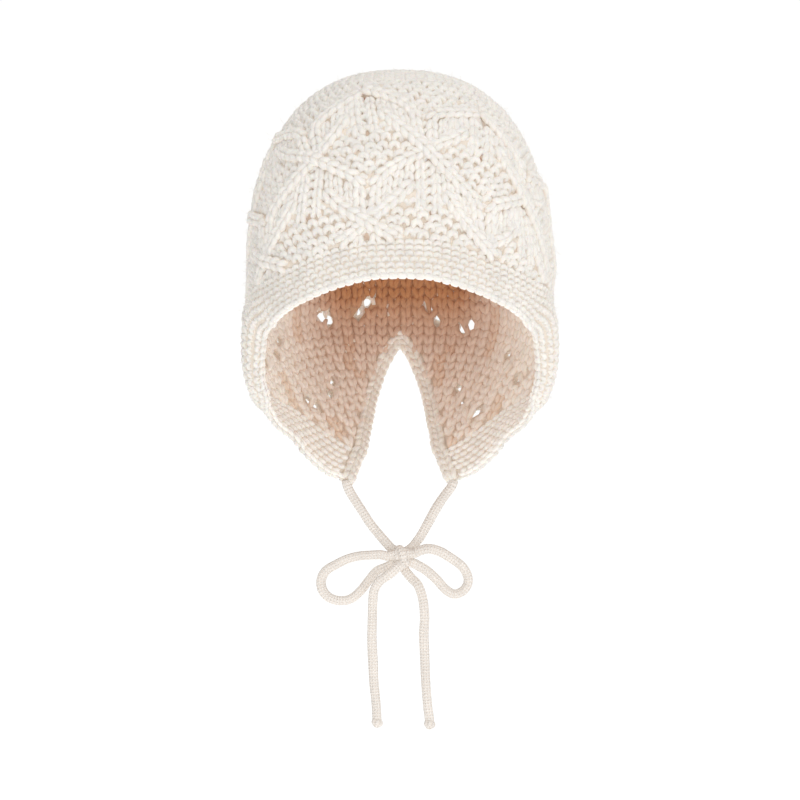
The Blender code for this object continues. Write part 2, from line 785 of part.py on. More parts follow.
def main():
    for obj in list(bpy.data.objects):
        bpy.data.objects.remove(obj, do_unlink=True)
    build_crown()
    stations = face_stations()
    build_face_band(stations)
    build_neck_edging(stations)
    build_cord("tie_left", TIE_LEFT_ROUTE)
    build_cord("tie_right", TIE_RIGHT_ROUTE)
    build_knot("bow_knot", BOW_KNOT, BOW_KNOT_PLACE)
    build_cord("bow_loop_left", LOOP_LEFT_ROUTE)
    build_cord("bow_loop_right", LOOP_RIGHT_ROUTE)
    build_cord("tail_left", TAIL_LEFT_ROUTE)
    build_cord("tail_right", TAIL_RIGHT_ROUTE)
    build_knot("end_knot_left", END_KNOT, END_KNOT_LEFT_PLACE)
    build_knot("end_knot_right", END_KNOT, END_KNOT_RIGHT_PLACE)


main()
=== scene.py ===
"""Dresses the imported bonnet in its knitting: each stitch is a small tube of yarn on the crown's form."""

import math
import bpy
import numpy as np
from mathutils import Matrix, Vector
from mathutils.kdtree import KDTree


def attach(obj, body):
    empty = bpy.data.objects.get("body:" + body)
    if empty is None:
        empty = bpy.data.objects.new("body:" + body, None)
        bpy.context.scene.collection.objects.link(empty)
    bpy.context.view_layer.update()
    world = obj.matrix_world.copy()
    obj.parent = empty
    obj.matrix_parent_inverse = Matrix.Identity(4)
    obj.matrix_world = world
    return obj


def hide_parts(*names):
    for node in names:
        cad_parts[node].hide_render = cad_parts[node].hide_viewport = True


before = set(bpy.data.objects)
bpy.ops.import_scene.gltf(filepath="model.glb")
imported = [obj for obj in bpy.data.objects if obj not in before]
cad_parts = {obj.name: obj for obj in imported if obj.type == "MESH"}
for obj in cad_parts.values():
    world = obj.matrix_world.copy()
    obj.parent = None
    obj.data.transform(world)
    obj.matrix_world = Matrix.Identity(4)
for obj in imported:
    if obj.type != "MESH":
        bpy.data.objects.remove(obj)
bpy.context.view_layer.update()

RNG = np.random.default_rng(7)

# The photo's view: the frame's width at the bonnet, and a long lens a little above it.
FRAME_WIDTH = 0.356
SENSOR = 36.0
CAMERA_DISTANCE = 1.8
CAMERA_RISE = math.radians(4.0)
AIM_HEIGHT = -0.1417

# The light: strengths from left to right across the room, and each lamp's place, size and energy.
ROOM_LIGHT = ((0.0, 0.15), (0.42, 1.02), (0.60, 1.02), (1.0, 0.30))
LAMPS = (("key", (0.6, -1.4, 1.6), 1.0, 6.2), ("front", (0.8, -2.1, -0.5), 1.4, 3.1))
FLOOR_HEIGHT = -0.75
FLOOR_HALF = 12.0

# Driving sizes of the form, as in the part's source.
HALF_WIDTH = 0.0672
FRONT_DEPTH = 0.0735
BACK_DEPTH = 0.073
DOME_HEIGHT = 0.089
WALL = 0.004
FLAP_REACH = 0.096
FRONT_ROUNDNESS = 2.8
BACK_ROUNDNESS = 2.2
SIDE_DOME_ROUNDNESS = 2.35
FRONT_DOME_ROUNDNESS = 3.1
FRONT_DROP = 0.0680
NAPE_DROP = 0.114
FLAP_DROP = 0.1665
FLAP_CORNER_ANGLE = 143.0
PATTERN_SIDE_DROP = 0.118
PATTERN_NAPE_DROP = 0.089
CROSSING_ANGLE = 10.0
COLUMNS = 72
HALF_HEIGHT = 0.033
ROW_HEIGHT = HALF_HEIGHT / 4
FIRST_CROSSING = 0.010
LATTICE_TOP = FIRST_CROSSING + 2 * HALF_HEIGHT
LATTICE_SHIFT = 0.002
LATTICE_TILT = 0.0065
TOP_SPREAD = 0.6
TOP_ROWS = 5
BAND_WIDTH = 0.0168
BAND_BEND = 0.006
BAND_EVENING = 23.75
EDGING_WIDTH = 0.0056

# Shares of the sizes above: drop, half width, front depth, back depth, roundness.
SECTIONS = np.array((
    (0.00, 1.000, 1.00, 1.00, 1.00),
    (0.26, 1.020, 1.00, 1.00, 0.98),
    (0.37, 1.025, 0.98, 0.96, 0.86),
    (0.62, 0.955, 0.88, 0.81, 0.58),
    (0.75, 0.840, 0.74, 0.60, 0.53),
    (0.86, 0.710, 0.60, 0.41, 0.50),
    (1.00, 0.520, 0.46, 0.27, 0.50),
))
FACE_EDGE = np.array((
    (0.000, 0.000), (0.070, 0.005), (0.126, 0.025), (0.196, 0.066), (0.273, 0.127), (0.364, 0.188),
    (0.455, 0.228), (0.524, 0.284), (0.566, 0.386), (0.594, 0.497), (0.622, 0.599), (0.664, 0.680),
    (0.734, 0.751), (0.811, 0.812), (0.888, 0.909), (0.944, 0.964), (1.000, 1.000),
))
NAPE_EDGE = np.array((
    (0.00, 0.000), (0.19, 0.124), (0.34, 0.257), (0.50, 0.448), (0.66, 0.634), (0.84, 0.857), (1.00, 1.000),
))
PATTERN_LINE = np.array((
    (0.00, 0.00, 0.00), (0.15, 0.15, 0.00), (0.28, 0.42, 0.00), (0.39, 0.72, 0.00), (0.52, 1.00, 0.00),
    (0.62, 1.00, 0.04), (0.78, 1.00, 0.45), (0.90, 1.00, 0.90), (1.00, 1.00, 1.00),
))
# The band by turn: flare and curl in degrees, and its width as a share.
BAND_RUN = np.array((
    (0.00, 26.0, 0.0, 1.00), (0.25, 24.0, 0.0, 1.04), (0.34, 30.0, 30.0, 1.12), (0.40, 38.0, 70.0, 1.26),
    (0.48, 42.0, 94.0, 1.38), (0.56, 50.0, 122.0, 1.40), (0.62, 44.0, 110.0, 1.26), (0.67, 22.0, 76.0, 1.10),
    (0.72, -4.0, 36.0, 1.04), (0.79, -10.0, 4.0, 1.10), (0.87, -6.0, 0.0, 1.26), (0.94, -4.0, 0.0, 1.30),
    (1.00, 0.0, 0.0, 1.06),
))

# Routes of the two ties, in metres, from the flap's tip through the bow to the end knot.
TIE_LEFT = (
    (-0.0240, 0.0037, -0.1781), (-0.0235, 0.0031, -0.1803), (-0.0222, 0.0030, -0.1832),
    (-0.0196, 0.0028, -0.1874), (-0.0163, 0.0026, -0.1925), (-0.0134, 0.0024, -0.1970),
    (-0.0092, 0.0020, -0.2022), (-0.0057, 0.0017, -0.2062), (-0.0033, 0.0017, -0.2086),
)
TIE_RIGHT = (
    (0.0240, 0.0037, -0.1781), (0.0232, 0.0031, -0.1803), (0.0214, 0.0030, -0.1828),
    (0.0186, 0.0028, -0.1866), (0.0155, 0.0026, -0.1915), (0.0128, 0.0024, -0.1965),
    (0.0096, 0.0020, -0.2022), (0.0067, 0.0017, -0.2062), (0.0043, 0.0017, -0.2086),
)
LOOP_LEFT = (
    (-0.0052, -0.0018, -0.2113), (-0.0085, -0.0021, -0.2107), (-0.0121, -0.0020, -0.2108),
    (-0.0175, -0.0016, -0.2112), (-0.0229, -0.0010, -0.2125), (-0.0283, -0.0004, -0.2151),
    (-0.0332, 0.0004, -0.2183), (-0.0352, 0.0008, -0.2227), (-0.0345, 0.0008, -0.2270),
    (-0.0316, 0.0006, -0.2302), (-0.0267, 0.0002, -0.2316), (-0.0218, 0.0000, -0.2306),
    (-0.0175, 0.0002, -0.2270), (-0.0142, 0.0006, -0.2228), (-0.0104, 0.0008, -0.2184),
    (-0.0064, 0.0002, -0.2166), (-0.0037, -0.0004, -0.2152),
)
LOOP_RIGHT = (
    (0.0059, -0.0021, -0.2101), (0.0090, -0.0024, -0.2088), (0.0126, -0.0022, -0.2080),
    (0.0175, -0.0014, -0.2092), (0.0229, -0.0008, -0.2124), (0.0278, 0.0000, -0.2162),
    (0.0302, 0.0006, -0.2205), (0.0302, 0.0008, -0.2243), (0.0278, 0.0008, -0.2275),
    (0.0240, 0.0006, -0.2286), (0.0202, 0.0004, -0.2264), (0.0164, 0.0002, -0.2221),
    (0.0121, 0.0000, -0.2182), (0.0083, -0.0005, -0.2158), (0.0054, -0.0010, -0.2144),
)
TAIL_LEFT = (
    (-0.0010, -0.0046, -0.2158), (-0.0030, -0.0052, -0.2178), (-0.0058, -0.0053, -0.2199),
    (-0.0092, -0.0050, -0.2224), (-0.0115, -0.0042, -0.2265), (-0.0121, -0.0034, -0.2317),
    (-0.0123, -0.0028, -0.2388), (-0.0125, -0.0024, -0.2486), (-0.0120, -0.0022, -0.2602),
    (-0.0116, -0.0021, -0.2686), (-0.0108, -0.0020, -0.2760), (-0.0104, -0.0020, -0.2824),
    (-0.0103, -0.0020, -0.2850),
)
TAIL_RIGHT = (
    (0.0015, 0.0018, -0.2166), (0.0028, 0.0016, -0.2188), (0.0052, 0.0008, -0.2216),
    (0.0080, -0.0010, -0.2244), (0.0098, -0.0018, -0.2290), (0.0107, -0.0022, -0.2340),
    (0.0110, -0.0022, -0.2400), (0.0106, -0.0021, -0.2470), (0.0110, -0.0020, -0.2550),
    (0.0113, -0.0020, -0.2640), (0.0118, -0.0019, -0.2720), (0.0124, -0.0018, -0.2790),
    (0.0130, -0.0018, -0.2832), (0.0132, -0.0018, -0.2858),
)
CORD_WIDTH = 0.0044
CORD_THICKNESS = 0.0030
BOW_KNOT_PLACE = np.array((0.0005, -0.0010, -0.2115))
END_KNOT_LEFT_PLACE = np.array((-0.0102, -0.0020, -0.2860))
END_KNOT_RIGHT_PLACE = np.array((0.0133, -0.0018, -0.2868))
# Each tie's steps inside the bow's knot, from the knot's middle: before its loop and after it.
KNOT_LEFT = (
    ((0.0012, 0.0022, 0.0002), (0.0008, -0.0008, 0.0012)),
    ((0.0006, 0.0004, -0.0016), (0.0018, -0.0028, -0.0022)),
)
KNOT_RIGHT = (
    ((-0.0010, 0.0022, 0.0004), (-0.0004, -0.0010, 0.0016)),
    ((-0.0008, 0.0010, -0.0016), (-0.0002, 0.0026, -0.0034)),
)
CORD_STEP = 0.0009
CORD_TURN = 0.5
BOW_KNOT_SIZE = (0.0078, 0.0066, 0.0076)
END_KNOT_SIZE = (0.0032, 0.0030, 0.0040)
# Strands of the bow's knot: tilt and spin in radians, share of the knot's size, and radius.
BOW_STRANDS = (
    (1.35, 0.25, 1.0, 0.0019), (0.9, 1.2, 0.8, 0.0019), (0.2, 2.4, 0.7, 0.0021), (1.5, 1.9, 0.5, 0.0022),
)

# The form's grid: how finely it is worked out, and how far apart its outward directions are read.
TURN_STEPS = 241
DOME_RINGS = 60
SIDE_RINGS = 50
HALF_DEGREES = 181
ANGLES = np.arange(-180.0, 181.0)
RUN_STEP = 0.001
NORMAL_DEGREES = 5
NORMAL_STEPS = 6
TOP_FLAT = 0.008
TOP_BLEND = 0.010

# The lattice repeats after 8 columns and after 8 rows.
REPEAT = 8
HALF_REPEAT = 4
CROSSING_MARGIN = 0.02
RIB_HEIGHT = 0.0017
RIB_SPREAD = 0.0026
RIB_REACH = 4.4
FURROW_START = 0.3
FURROW_END = 3.4
# Painted shadow in the wall's furrows.
FURROW_PAINTED_SHADOW = 0.35
SEAM_HALF = 0.0021

# Eyelets: columns and rows from their crossing, where the wide ones behind start, and how much they lean.
EYELET_STEPS = ((1.5, 1.3), (2.5, 1.8))
EYELET_STEPS_BEHIND = ((1.05, 1.0), (1.75, 1.55))
EYELETS_BEHIND = 100
EYELET_MARGIN = 0.008
EYELET_LEAN = 1.4
EYELET_CLEAR = 0.0011
EYELET_DEPTH = 0.007
EYELET_WIDE = 1.25
EYELET_NARROW = 0.5
BACK_START = 0.02

# Sizes of the stitches.
MILLIMETRES = 1000.0
UV_SHIFT = 0.37
HEIGHT_JITTER = 0.00007
SIDE_SINK = 0.0009
SIDE_START = 0.045
SIDE_REACH = 0.018
PURL_WIDTH = 0.0052
PURL_ROW = 0.0041
PURL_LIFT = -0.0011
DIAMOND_TOP = 8.3
DIAMOND_FOOT = -14
DIAMOND_MARGIN = 0.72
PURL_FURROW = 0.95
FURROW_ROWS = 3.3
TOP_RINGS = 22
TOP_PURL_MARGIN = 0.0045
NAPE_MARGIN = 0.0016
FILLING_LIFT = -0.0017
FILLING_ROW = 0.0019
FILLING_STEP = 0.0022
FILLING_MARGIN = 0.0010
FILLING_GAP = 0.0026
FILLING_APART = 0.0030
FILLING_MEMORY = 160
CHAIN_PITCH = 0.0044
CHAIN_LOOK = 0.0006
CHAIN_MARGIN = 0.0012
LINE_LOOK = 0.001
YARN_ROUND_EYELET = 0.0021
LINING_WIDTH = 0.0055
LINING_ROW = 0.0047
LINING_START = 0.004
LINING_RINGS = 60
LINING_GROUP = 6
LINING_MOST = 84
LINING_DEPTH = 0.0035
LINING_SUNK = 0.0030
LINING_ROUND_EYELET = 0.0025
GARTER_WIDTH = 0.0040
BAND_ROWS = 6
BAND_STEP = 1.2
BAND_LIFT = 0.0009
BAND_BASE_HALF = 0.0011
RIM_LIFT = 0.0007
EDGING_PITCH = 0.0042
EDGING_BASE_HALF = 0.0013
FIBRE_SHORT = 0.0010
FIBRE_LONG = 0.0026
FIBRE_RADIUS = 0.000035

# The thin wall behind the stitches: its grid, and how deep its two faces lie under the form.
SHELL_COLUMNS = 240
SHELL_ROWS = 118
SHELL_OUTER = 0.0017
SHELL_INNER = 0.0030
SHELL_TOP = 0.0016
SHELL_RIB_TOP = 8.6

# Depths of the bumps in the materials.
V_MARK_DEPTH = 0.00026
PLY_DEPTH = 0.00010
FIBRE_DEPTH = 0.00018
FELT_DEPTH = 0.0004

# Centrelines of the stitches in millimetres: sideways, up and out, and each ring's radius.
PURL = (
    (-1.65, -2.5, -1.5), (-1.8, -1.0, -0.25), (-1.2, 0.3, 0.4), (0.0, 0.8, 0.6),
    (1.2, 0.3, 0.4), (1.8, -1.0, -0.25), (1.65, -2.5, -1.5),
)
PURL_RADIUS = (0.9, 1.28, 1.5, 1.58, 1.5, 1.28, 0.9)
LEG = ((0.5, -2.6, -0.7), (0.75, -1.0, 0.2), (1.2, 0.6, 0.45), (1.58, 2.0, 0.25), (1.6, 3.5, -0.7))
LEG_RADIUS = (0.85, 1.3, 1.42, 1.36, 0.8)
RIM = ((-2.2, 0.3, -0.3), (-0.9, 0.1, 0.35), (0.9, -0.1, 0.45), (2.2, -0.35, -0.3))
RIM_RADIUS = (0.7, 1.0, 1.0, 0.7)

# A cable strand's way through a crossing, in columns and rows. It lies over or under the other strand.
STRAND = np.array((
    (-2.9, 2.1), (-2.0, 1.25), (-1.0, 0.6), (0.0, 0.0), (1.0, -0.5), (2.0, -1.0),
    (3.0, -1.5), (3.42, -1.95), (3.48, -2.6), (3.52, -3.2), (3.7, -3.7),
))
STRAND_LIFT = 0.0002
STRAND_OVER = 0.0012
STRAND_UNDER = -0.0003
STRAND_FOOT = 0.0004
STRAND_FOOT_ROW = -2.2
TOP_STRAND_START = 3

# The fan's plain columns: columns across at their top and foot, and how many rows down they start and end.
FAN_COLUMNS = (
    (0.53, 0.56, 0.55, 3.15), (1.20, 1.40, 0.85, 2.25), (1.85, 2.15, 1.25, 2.75), (2.65, 2.85, 1.65, 3.15),
)
FAN_LIFT = -0.0010


def camera():
    """The photo's view: a long lens, a little above the bonnet."""
    view = bpy.data.cameras.new("camera")
    view.sensor_width = SENSOR
    view.lens = SENSOR * CAMERA_DISTANCE / FRAME_WIDTH
    view.clip_end = 60.0
    rig = bpy.data.objects.new("camera", view)
    bpy.context.scene.collection.objects.link(rig)
    aim = Vector((0.0, 0.0, AIM_HEIGHT))
    rig.location = aim + CAMERA_DISTANCE * Vector((0.0, -math.cos(CAMERA_RISE), math.sin(CAMERA_RISE)))
    rig.rotation_euler = (math.pi / 2 - CAMERA_RISE, 0.0, 0.0)
    bpy.context.scene.camera = rig


def unit(v):
    return v / np.maximum(np.linalg.norm(v, axis=-1, keepdims=True), 1e-12)


def square_to(v, axis):
    """The unit direction of v square to a unit axis."""
    return unit(v - (v * axis).sum(-1, keepdims=True) * axis)


def between(at, length, points):
    """Points read at lengths along a line of points."""
    return np.stack([np.interp(at, length, points[:, k]) for k in range(3)], axis=1)


def lengths_along(points):
    """The length from the first point to each point."""
    steps = np.linalg.norm(np.diff(points, axis=0), axis=1)
    return np.concatenate([[0], np.cumsum(steps)])


def evened(values, count, mode):
    """Columns of values, each one the mean of count neighbours."""
    kernel = np.ones(count) / count
    pad = count // 2
    options = {"reflect_type": "odd"} if mode == "reflect" else {}
    padded = [np.pad(v, pad, mode=mode, **options) for v in values.T]
    return np.stack([np.convolve(v, kernel, "valid") for v in padded], axis=1)


def smooth(xs, ys, x):
    """A smooth curve through the points, with no overshoot between them."""
    steps = np.diff(xs)
    slopes = np.diff(ys) / steps
    tangents = np.zeros(len(xs))
    for i in range(1, len(xs) - 1):
        if slopes[i - 1] * slopes[i] > 0:
            before = 2 * steps[i] + steps[i - 1]
            after = steps[i] + 2 * steps[i - 1]
            tangents[i] = (before + after) / (before / slopes[i - 1] + after / slopes[i])
    tangents[-1] = slopes[-1]
    x = np.clip(x, xs[0], xs[-1])
    i = np.clip(np.searchsorted(xs, x, side="right") - 1, 0, len(steps) - 1)
    t = (x - xs[i]) / steps[i]
    start = ys[i] * (1 + 2 * t) * (1 - t) ** 2 + tangents[i] * steps[i] * t * (1 - t) ** 2
    end = ys[i + 1] * t**2 * (3 - 2 * t) + tangents[i + 1] * steps[i] * t**2 * (t - 1)
    return start + end


def form_ring(down, turns):
    """Half an outline of the form. down is 0 at the top, 1 at the dome's foot and 2 at the flaps' end."""
    across = np.sin(turns)
    ahead = np.cos(turns)
    if down <= 1.0:
        shares = (1.0, 1.0, 1.0, 1.0)
        dome = SIDE_DOME_ROUNDNESS * across**2 + FRONT_DOME_ROUNDNESS * ahead**2
        spread = math.sin(down * math.pi / 2) ** (2 / dome)
        z = WALL - DOME_HEIGHT * (1 - max(math.cos(down * math.pi / 2), 0.0) ** (2 / dome))
    else:
        shares = [float(smooth(SECTIONS[:, 0], SECTIONS[:, k], down - 1.0)) for k in range(1, 5)]
        spread = 1.0
        z = np.full(len(turns), WALL - DOME_HEIGHT - FLAP_REACH * (down - 1.0))
    depth = np.where(ahead > 0, FRONT_DEPTH * shares[1], BACK_DEPTH * shares[2])
    roundness = shares[3] * np.where(ahead > 0, FRONT_ROUNDNESS, BACK_ROUNDNESS)
    if down <= 1.0:
        roundness = 2 + (roundness - 2) * down
    x = HALF_WIDTH * shares[0] * spread * np.abs(across) ** (2 / roundness)
    y = -depth * spread * np.sign(ahead) * np.abs(ahead) ** (2 / roundness)
    return np.stack([x, y, z], axis=1)


def form_grid():
    """Points of the form by whole degrees round the head and whole millimetres down each meridian."""
    turns = np.linspace(0, math.pi, TURN_STEPS)
    downs = np.concatenate([np.linspace(0, 1, DOME_RINGS), np.linspace(1, 2, SIDE_RINGS)[1:]])
    rings = []
    share = np.arange(HALF_DEGREES) / (HALF_DEGREES - 1)
    for down in downs:
        ring = form_ring(max(down, 1e-4), turns)
        run = lengths_along(ring)
        rings.append(between(share, run / run[-1], ring))
    rings = np.array(rings)
    rings[0] = (0.0, 0.0, WALL)
    lengths = np.linalg.norm(np.diff(rings, axis=0), axis=2)
    runs = np.concatenate([np.zeros((1, HALF_DEGREES)), np.cumsum(lengths, axis=0)])
    samples = np.arange(0, runs.max(), RUN_STEP)
    half = np.empty((HALF_DEGREES, len(samples), 3))
    for a in range(HALF_DEGREES):
        half[a] = between(samples, runs[:, a], rings[:, a])
    left = half[::-1].copy()
    left[:, :, 0] *= -1
    return np.concatenate([left[:-1], half]), samples


POINTS, RUNS = form_grid()


def form_normals():
    """Outward directions of the form, straight up at its very top, and the ways up along it."""
    beside = np.roll(POINTS[:-1], -NORMAL_DEGREES, axis=0) - np.roll(POINTS[:-1], NORMAL_DEGREES, axis=0)
    beside = np.concatenate([beside, beside[:1]])
    low = np.clip(np.arange(len(RUNS)) + NORMAL_STEPS, 0, len(RUNS) - 1)
    high = np.clip(np.arange(len(RUNS)) - NORMAL_STEPS, 0, len(RUNS) - 1)
    down = POINTS[:, low] - POINTS[:, high]
    normal = unit(np.cross(beside, down))
    share = np.clip((RUNS - TOP_FLAT) / TOP_BLEND, 0, 1)[None, :, None]
    return unit(-normal * share + np.array((0.0, 0.0, 1.0)) * (1 - share)), unit(-down)


NORMALS, UPS = form_normals()


def lookup(grid, angle, run):
    """Values of a grid at any angles and runs, blended between its points."""
    a = np.mod(np.asarray(angle, float) + 180.0, 360.0)
    r = np.clip(np.asarray(run, float) / RUN_STEP, 0, len(RUNS) - 1.001)
    i = np.minimum(a.astype(int), 359)
    j = r.astype(int)
    s = (a - i)[..., None]
    t = (r - j)[..., None]
    return (
        grid[i, j] * (1 - s) * (1 - t) + grid[i + 1, j] * s * (1 - t)
        + grid[i, j + 1] * (1 - s) * t + grid[i + 1, j + 1] * s * t
    )


def drops_to_runs(drops):
    """The run at a drop for each whole degree."""
    return np.array([np.interp(drops[a], -POINTS[a, :, 2], RUNS) for a in range(361)])


def edge_drops():
    """How far the knitting's edge lies below the top, for each whole degree."""
    turn = np.abs(ANGLES)
    fall = smooth(FACE_EDGE[:, 0], FACE_EDGE[:, 1], np.minimum(turn / FLAP_CORNER_ANGLE, 1))
    share = np.clip((turn - FLAP_CORNER_ANGLE) / (180.0 - FLAP_CORNER_ANGLE), 0, 1)
    rise = smooth(NAPE_EDGE[:, 0], NAPE_EDGE[:, 1], share)
    front = FRONT_DROP + (FLAP_DROP - FRONT_DROP) * fall
    return np.where(turn <= FLAP_CORNER_ANGLE, front, FLAP_DROP - (FLAP_DROP - NAPE_DROP) * rise)


def pattern_drops():
    """How far the line that the lattice hangs on lies below the top, for each whole degree."""
    turn = np.abs(ANGLES) / 180.0
    side = (PATTERN_SIDE_DROP - FRONT_DROP) * smooth(PATTERN_LINE[:, 0], PATTERN_LINE[:, 1], turn)
    nape = (PATTERN_NAPE_DROP - PATTERN_SIDE_DROP) * smooth(PATTERN_LINE[:, 0], PATTERN_LINE[:, 2], turn)
    return FRONT_DROP + side + nape


EDGE_RUNS = drops_to_runs(edge_drops())
LINE_RUNS = drops_to_runs(pattern_drops()) + LATTICE_SHIFT + LATTICE_TILT * np.sin(np.radians(ANGLES))


def wrapped(angle):
    return np.mod(np.asarray(angle, float) + 180.0, 360.0) - 180.0


def edge_run(angle):
    return np.interp(wrapped(angle), ANGLES, EDGE_RUNS)


def line_run(angle):
    return np.interp(wrapped(angle), ANGLES, LINE_RUNS)


def lattice_angle(c, row):
    """The angle at a column and a row of the lattice."""
    c = np.mod(np.asarray(c, float), COLUMNS)
    middle = COLUMNS / 2
    right = CROSSING_ANGLE + (180.0 - CROSSING_ANGLE) * (c - middle) / middle
    left = CROSSING_ANGLE - (180.0 + CROSSING_ANGLE) * (middle - c) / middle
    angle = np.where(c >= middle, right, left)
    side = np.where(c >= middle, 180.0 - CROSSING_ANGLE, 180.0 + CROSSING_ANGLE)
    climb = np.clip((np.asarray(row, float) - HALF_REPEAT) / HALF_REPEAT, 0, 1)
    share = np.abs(angle - CROSSING_ANGLE) / side
    return CROSSING_ANGLE + (angle - CROSSING_ANGLE) * (1 + TOP_SPREAD * climb * (1 - share) ** 2)


def lattice_run(angle, row):
    """The run at an angle and a row: even rows in the lattice, and fewer, taller ones over the top."""
    row = np.asarray(row, float)
    line = line_run(angle)
    top = (line - LATTICE_TOP) * (1 - (row - REPEAT) / TOP_ROWS)
    return np.where(row <= REPEAT, line - FIRST_CROSSING - row * ROW_HEIGHT, top)


def lattice_column(angle, row):
    """The column at an angle and a row, the other way round than lattice_angle."""
    table = np.linspace(0, COLUMNS - 1e-6, 10 * COLUMNS + 1)
    flat_angle = np.ravel(wrapped(angle))
    flat_row = np.ravel(np.broadcast_to(row, np.shape(angle)))
    levels = np.round(np.clip(flat_row, HALF_REPEAT, REPEAT), 1)
    columns = np.empty(len(flat_angle))
    for level in np.unique(levels):
        here = levels == level
        columns[here] = np.interp(flat_angle[here], lattice_angle(table, level), table)
    return columns.reshape(np.shape(angle))


def drawn_in(place):
    """How much deeper the stitches lie at the sides, so that they keep to the crown's outline."""
    return -SIDE_SINK * np.clip((np.abs(place[..., 0]) - SIDE_START) / SIDE_REACH, 0, 1)


def frames(angle, run, height, outside=True):
    """Places at heights over the form, with their sideways, upward and outward directions."""
    out = unit(lookup(NORMALS, angle, run))
    up = square_to(lookup(UPS, angle, run), out)
    side = np.cross(up, out)
    place = lookup(POINTS, angle, run)
    lift = np.asarray(height)
    if outside:
        lift = lift + drawn_in(place)
    return place + out * lift[..., None], side, up, out


def rib_heights(c, row):
    """How far the wall stands out under the ribs, at places of the lattice."""
    across = np.mod(c - COLUMNS / 2, REPEAT)
    height = np.zeros(np.shape(across))
    for shift, base in ((0, HALF_REPEAT), (HALF_REPEAT, 0), (REPEAT, HALF_REPEAT)):
        beside = np.abs(across - shift)
        down = np.mod(base - row, REPEAT)
        for start in (0, 2, REPEAT):
            path = start + beside / 2
            near = np.exp(-(((down - path) * ROW_HEIGHT / RIB_SPREAD) ** 2)) * (beside < RIB_REACH)
            height = np.maximum(height, RIB_HEIGHT * near)
    return height


def new_mesh(name, points, faces, uvs=None, painted_shade=None, smooth_faces=True):
    """A mesh from arrays. faces is a list of arrays, each with one row of corners for each face."""
    mesh = bpy.data.meshes.new(name)
    mesh.vertices.add(len(points))
    mesh.vertices.foreach_set("co", np.asarray(points, np.float32).ravel())
    loops = np.concatenate([f.ravel() for f in faces]).astype(np.int32)
    sizes = np.concatenate([np.full(len(f), f.shape[1]) for f in faces])
    mesh.loops.add(len(loops))
    mesh.loops.foreach_set("vertex_index", loops)
    mesh.polygons.add(len(sizes))
    mesh.polygons.foreach_set("loop_start", np.concatenate([[0], np.cumsum(sizes)[:-1]]).astype(np.int32))
    if uvs is not None:
        corners = np.concatenate([u.reshape(-1, 2) for u in uvs]).astype(np.float32)
        mesh.uv_layers.new(name="yarn").data.foreach_set("uv", corners.ravel())
    if painted_shade is not None:
        attribute = mesh.attributes.new("painted_shade", "FLOAT", "POINT")
        attribute.data.foreach_set("value", np.asarray(painted_shade, np.float32))
    mesh.update(calc_edges=True)
    mesh.validate()
    if smooth_faces:
        mesh.polygons.foreach_set("use_smooth", np.ones(len(mesh.polygons), bool))
    return mesh


def new_piece(name, mesh, material, replaced=()):
    """An object of the bonnet, with its finish, and the CAD nodes that it stands for."""
    piece = bpy.data.objects.new(name, mesh)
    bpy.context.scene.collection.objects.link(piece)
    piece.data.materials.append(material)
    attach(piece, "root")
    if replaced:
        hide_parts(*replaced)
    return piece


def tube_arrays(paths, refs, radius, sides, flat=1.0):
    """Tubes along many paths at once, from their (count, rings, 3) points, directions and radii."""
    count, rings, _ = paths.shape
    tangent = np.empty_like(paths)
    tangent[:, 1:-1] = paths[:, 2:] - paths[:, :-2]
    tangent[:, 0] = paths[:, 1] - paths[:, 0]
    tangent[:, -1] = paths[:, -1] - paths[:, -2]
    tangent = unit(tangent)
    refs = np.broadcast_to(refs[:, None, :] if refs.ndim == 2 else refs, paths.shape)
    side = unit(np.cross(tangent, refs))
    up = np.cross(side, tangent)
    angle = (np.arange(sides) * 2 * math.pi / sides)[None, None, :, None]
    radius = np.broadcast_to(radius, (count, rings))[..., None, None]
    ring = side[:, :, None] * np.cos(angle) + up[:, :, None] * np.sin(angle) * flat
    points = paths[:, :, None] + radius * ring
    index = np.arange(count * rings * sides).reshape(count, rings, sides)
    a = index[:, :-1]
    b = index[:, 1:]
    quads = np.stack([a, np.roll(a, -1, 2), np.roll(b, -1, 2), b], axis=-1).reshape(-1, 4)[:, ::-1]
    caps = np.concatenate([index[:, 0], index[:, -1, ::-1]])
    lengths = np.linalg.norm(np.diff(paths, axis=1), axis=2)
    along = np.concatenate([np.zeros((count, 1)), np.cumsum(lengths, axis=1)], axis=1) * MILLIMETRES
    u0 = np.broadcast_to(along[:, :-1, None], a.shape)
    u1 = np.broadcast_to(along[:, 1:, None], a.shape)
    v0 = np.broadcast_to(np.arange(sides) / sides, a.shape)
    v1 = v0 + 1 / sides
    shift = (np.arange(count) * UV_SHIFT % 1)[:, None, None]
    corners = ((u1, v0), (u1, v1), (u0, v1), (u0, v0))
    quad_uv = np.stack([np.stack([u, v + shift], -1) for u, v in corners], axis=-2).reshape(-1, 4, 2)
    cap_uv = np.zeros((len(caps), sides, 2))
    return points, quads, caps, quad_uv, cap_uv


def crossings():
    """Columns and rows where two cable strands cross."""
    found = []
    for c in range(0, COLUMNS, HALF_REPEAT):
        first = HALF_REPEAT if (c - COLUMNS // 2) % REPEAT == 0 else 0
        for row in range(first - 2 * REPEAT, REPEAT + 1, REPEAT):
            angle = lattice_angle(c, row)
            if lattice_run(angle, row) < edge_run(angle) + CROSSING_MARGIN:
                found.append((c, row))
    return found


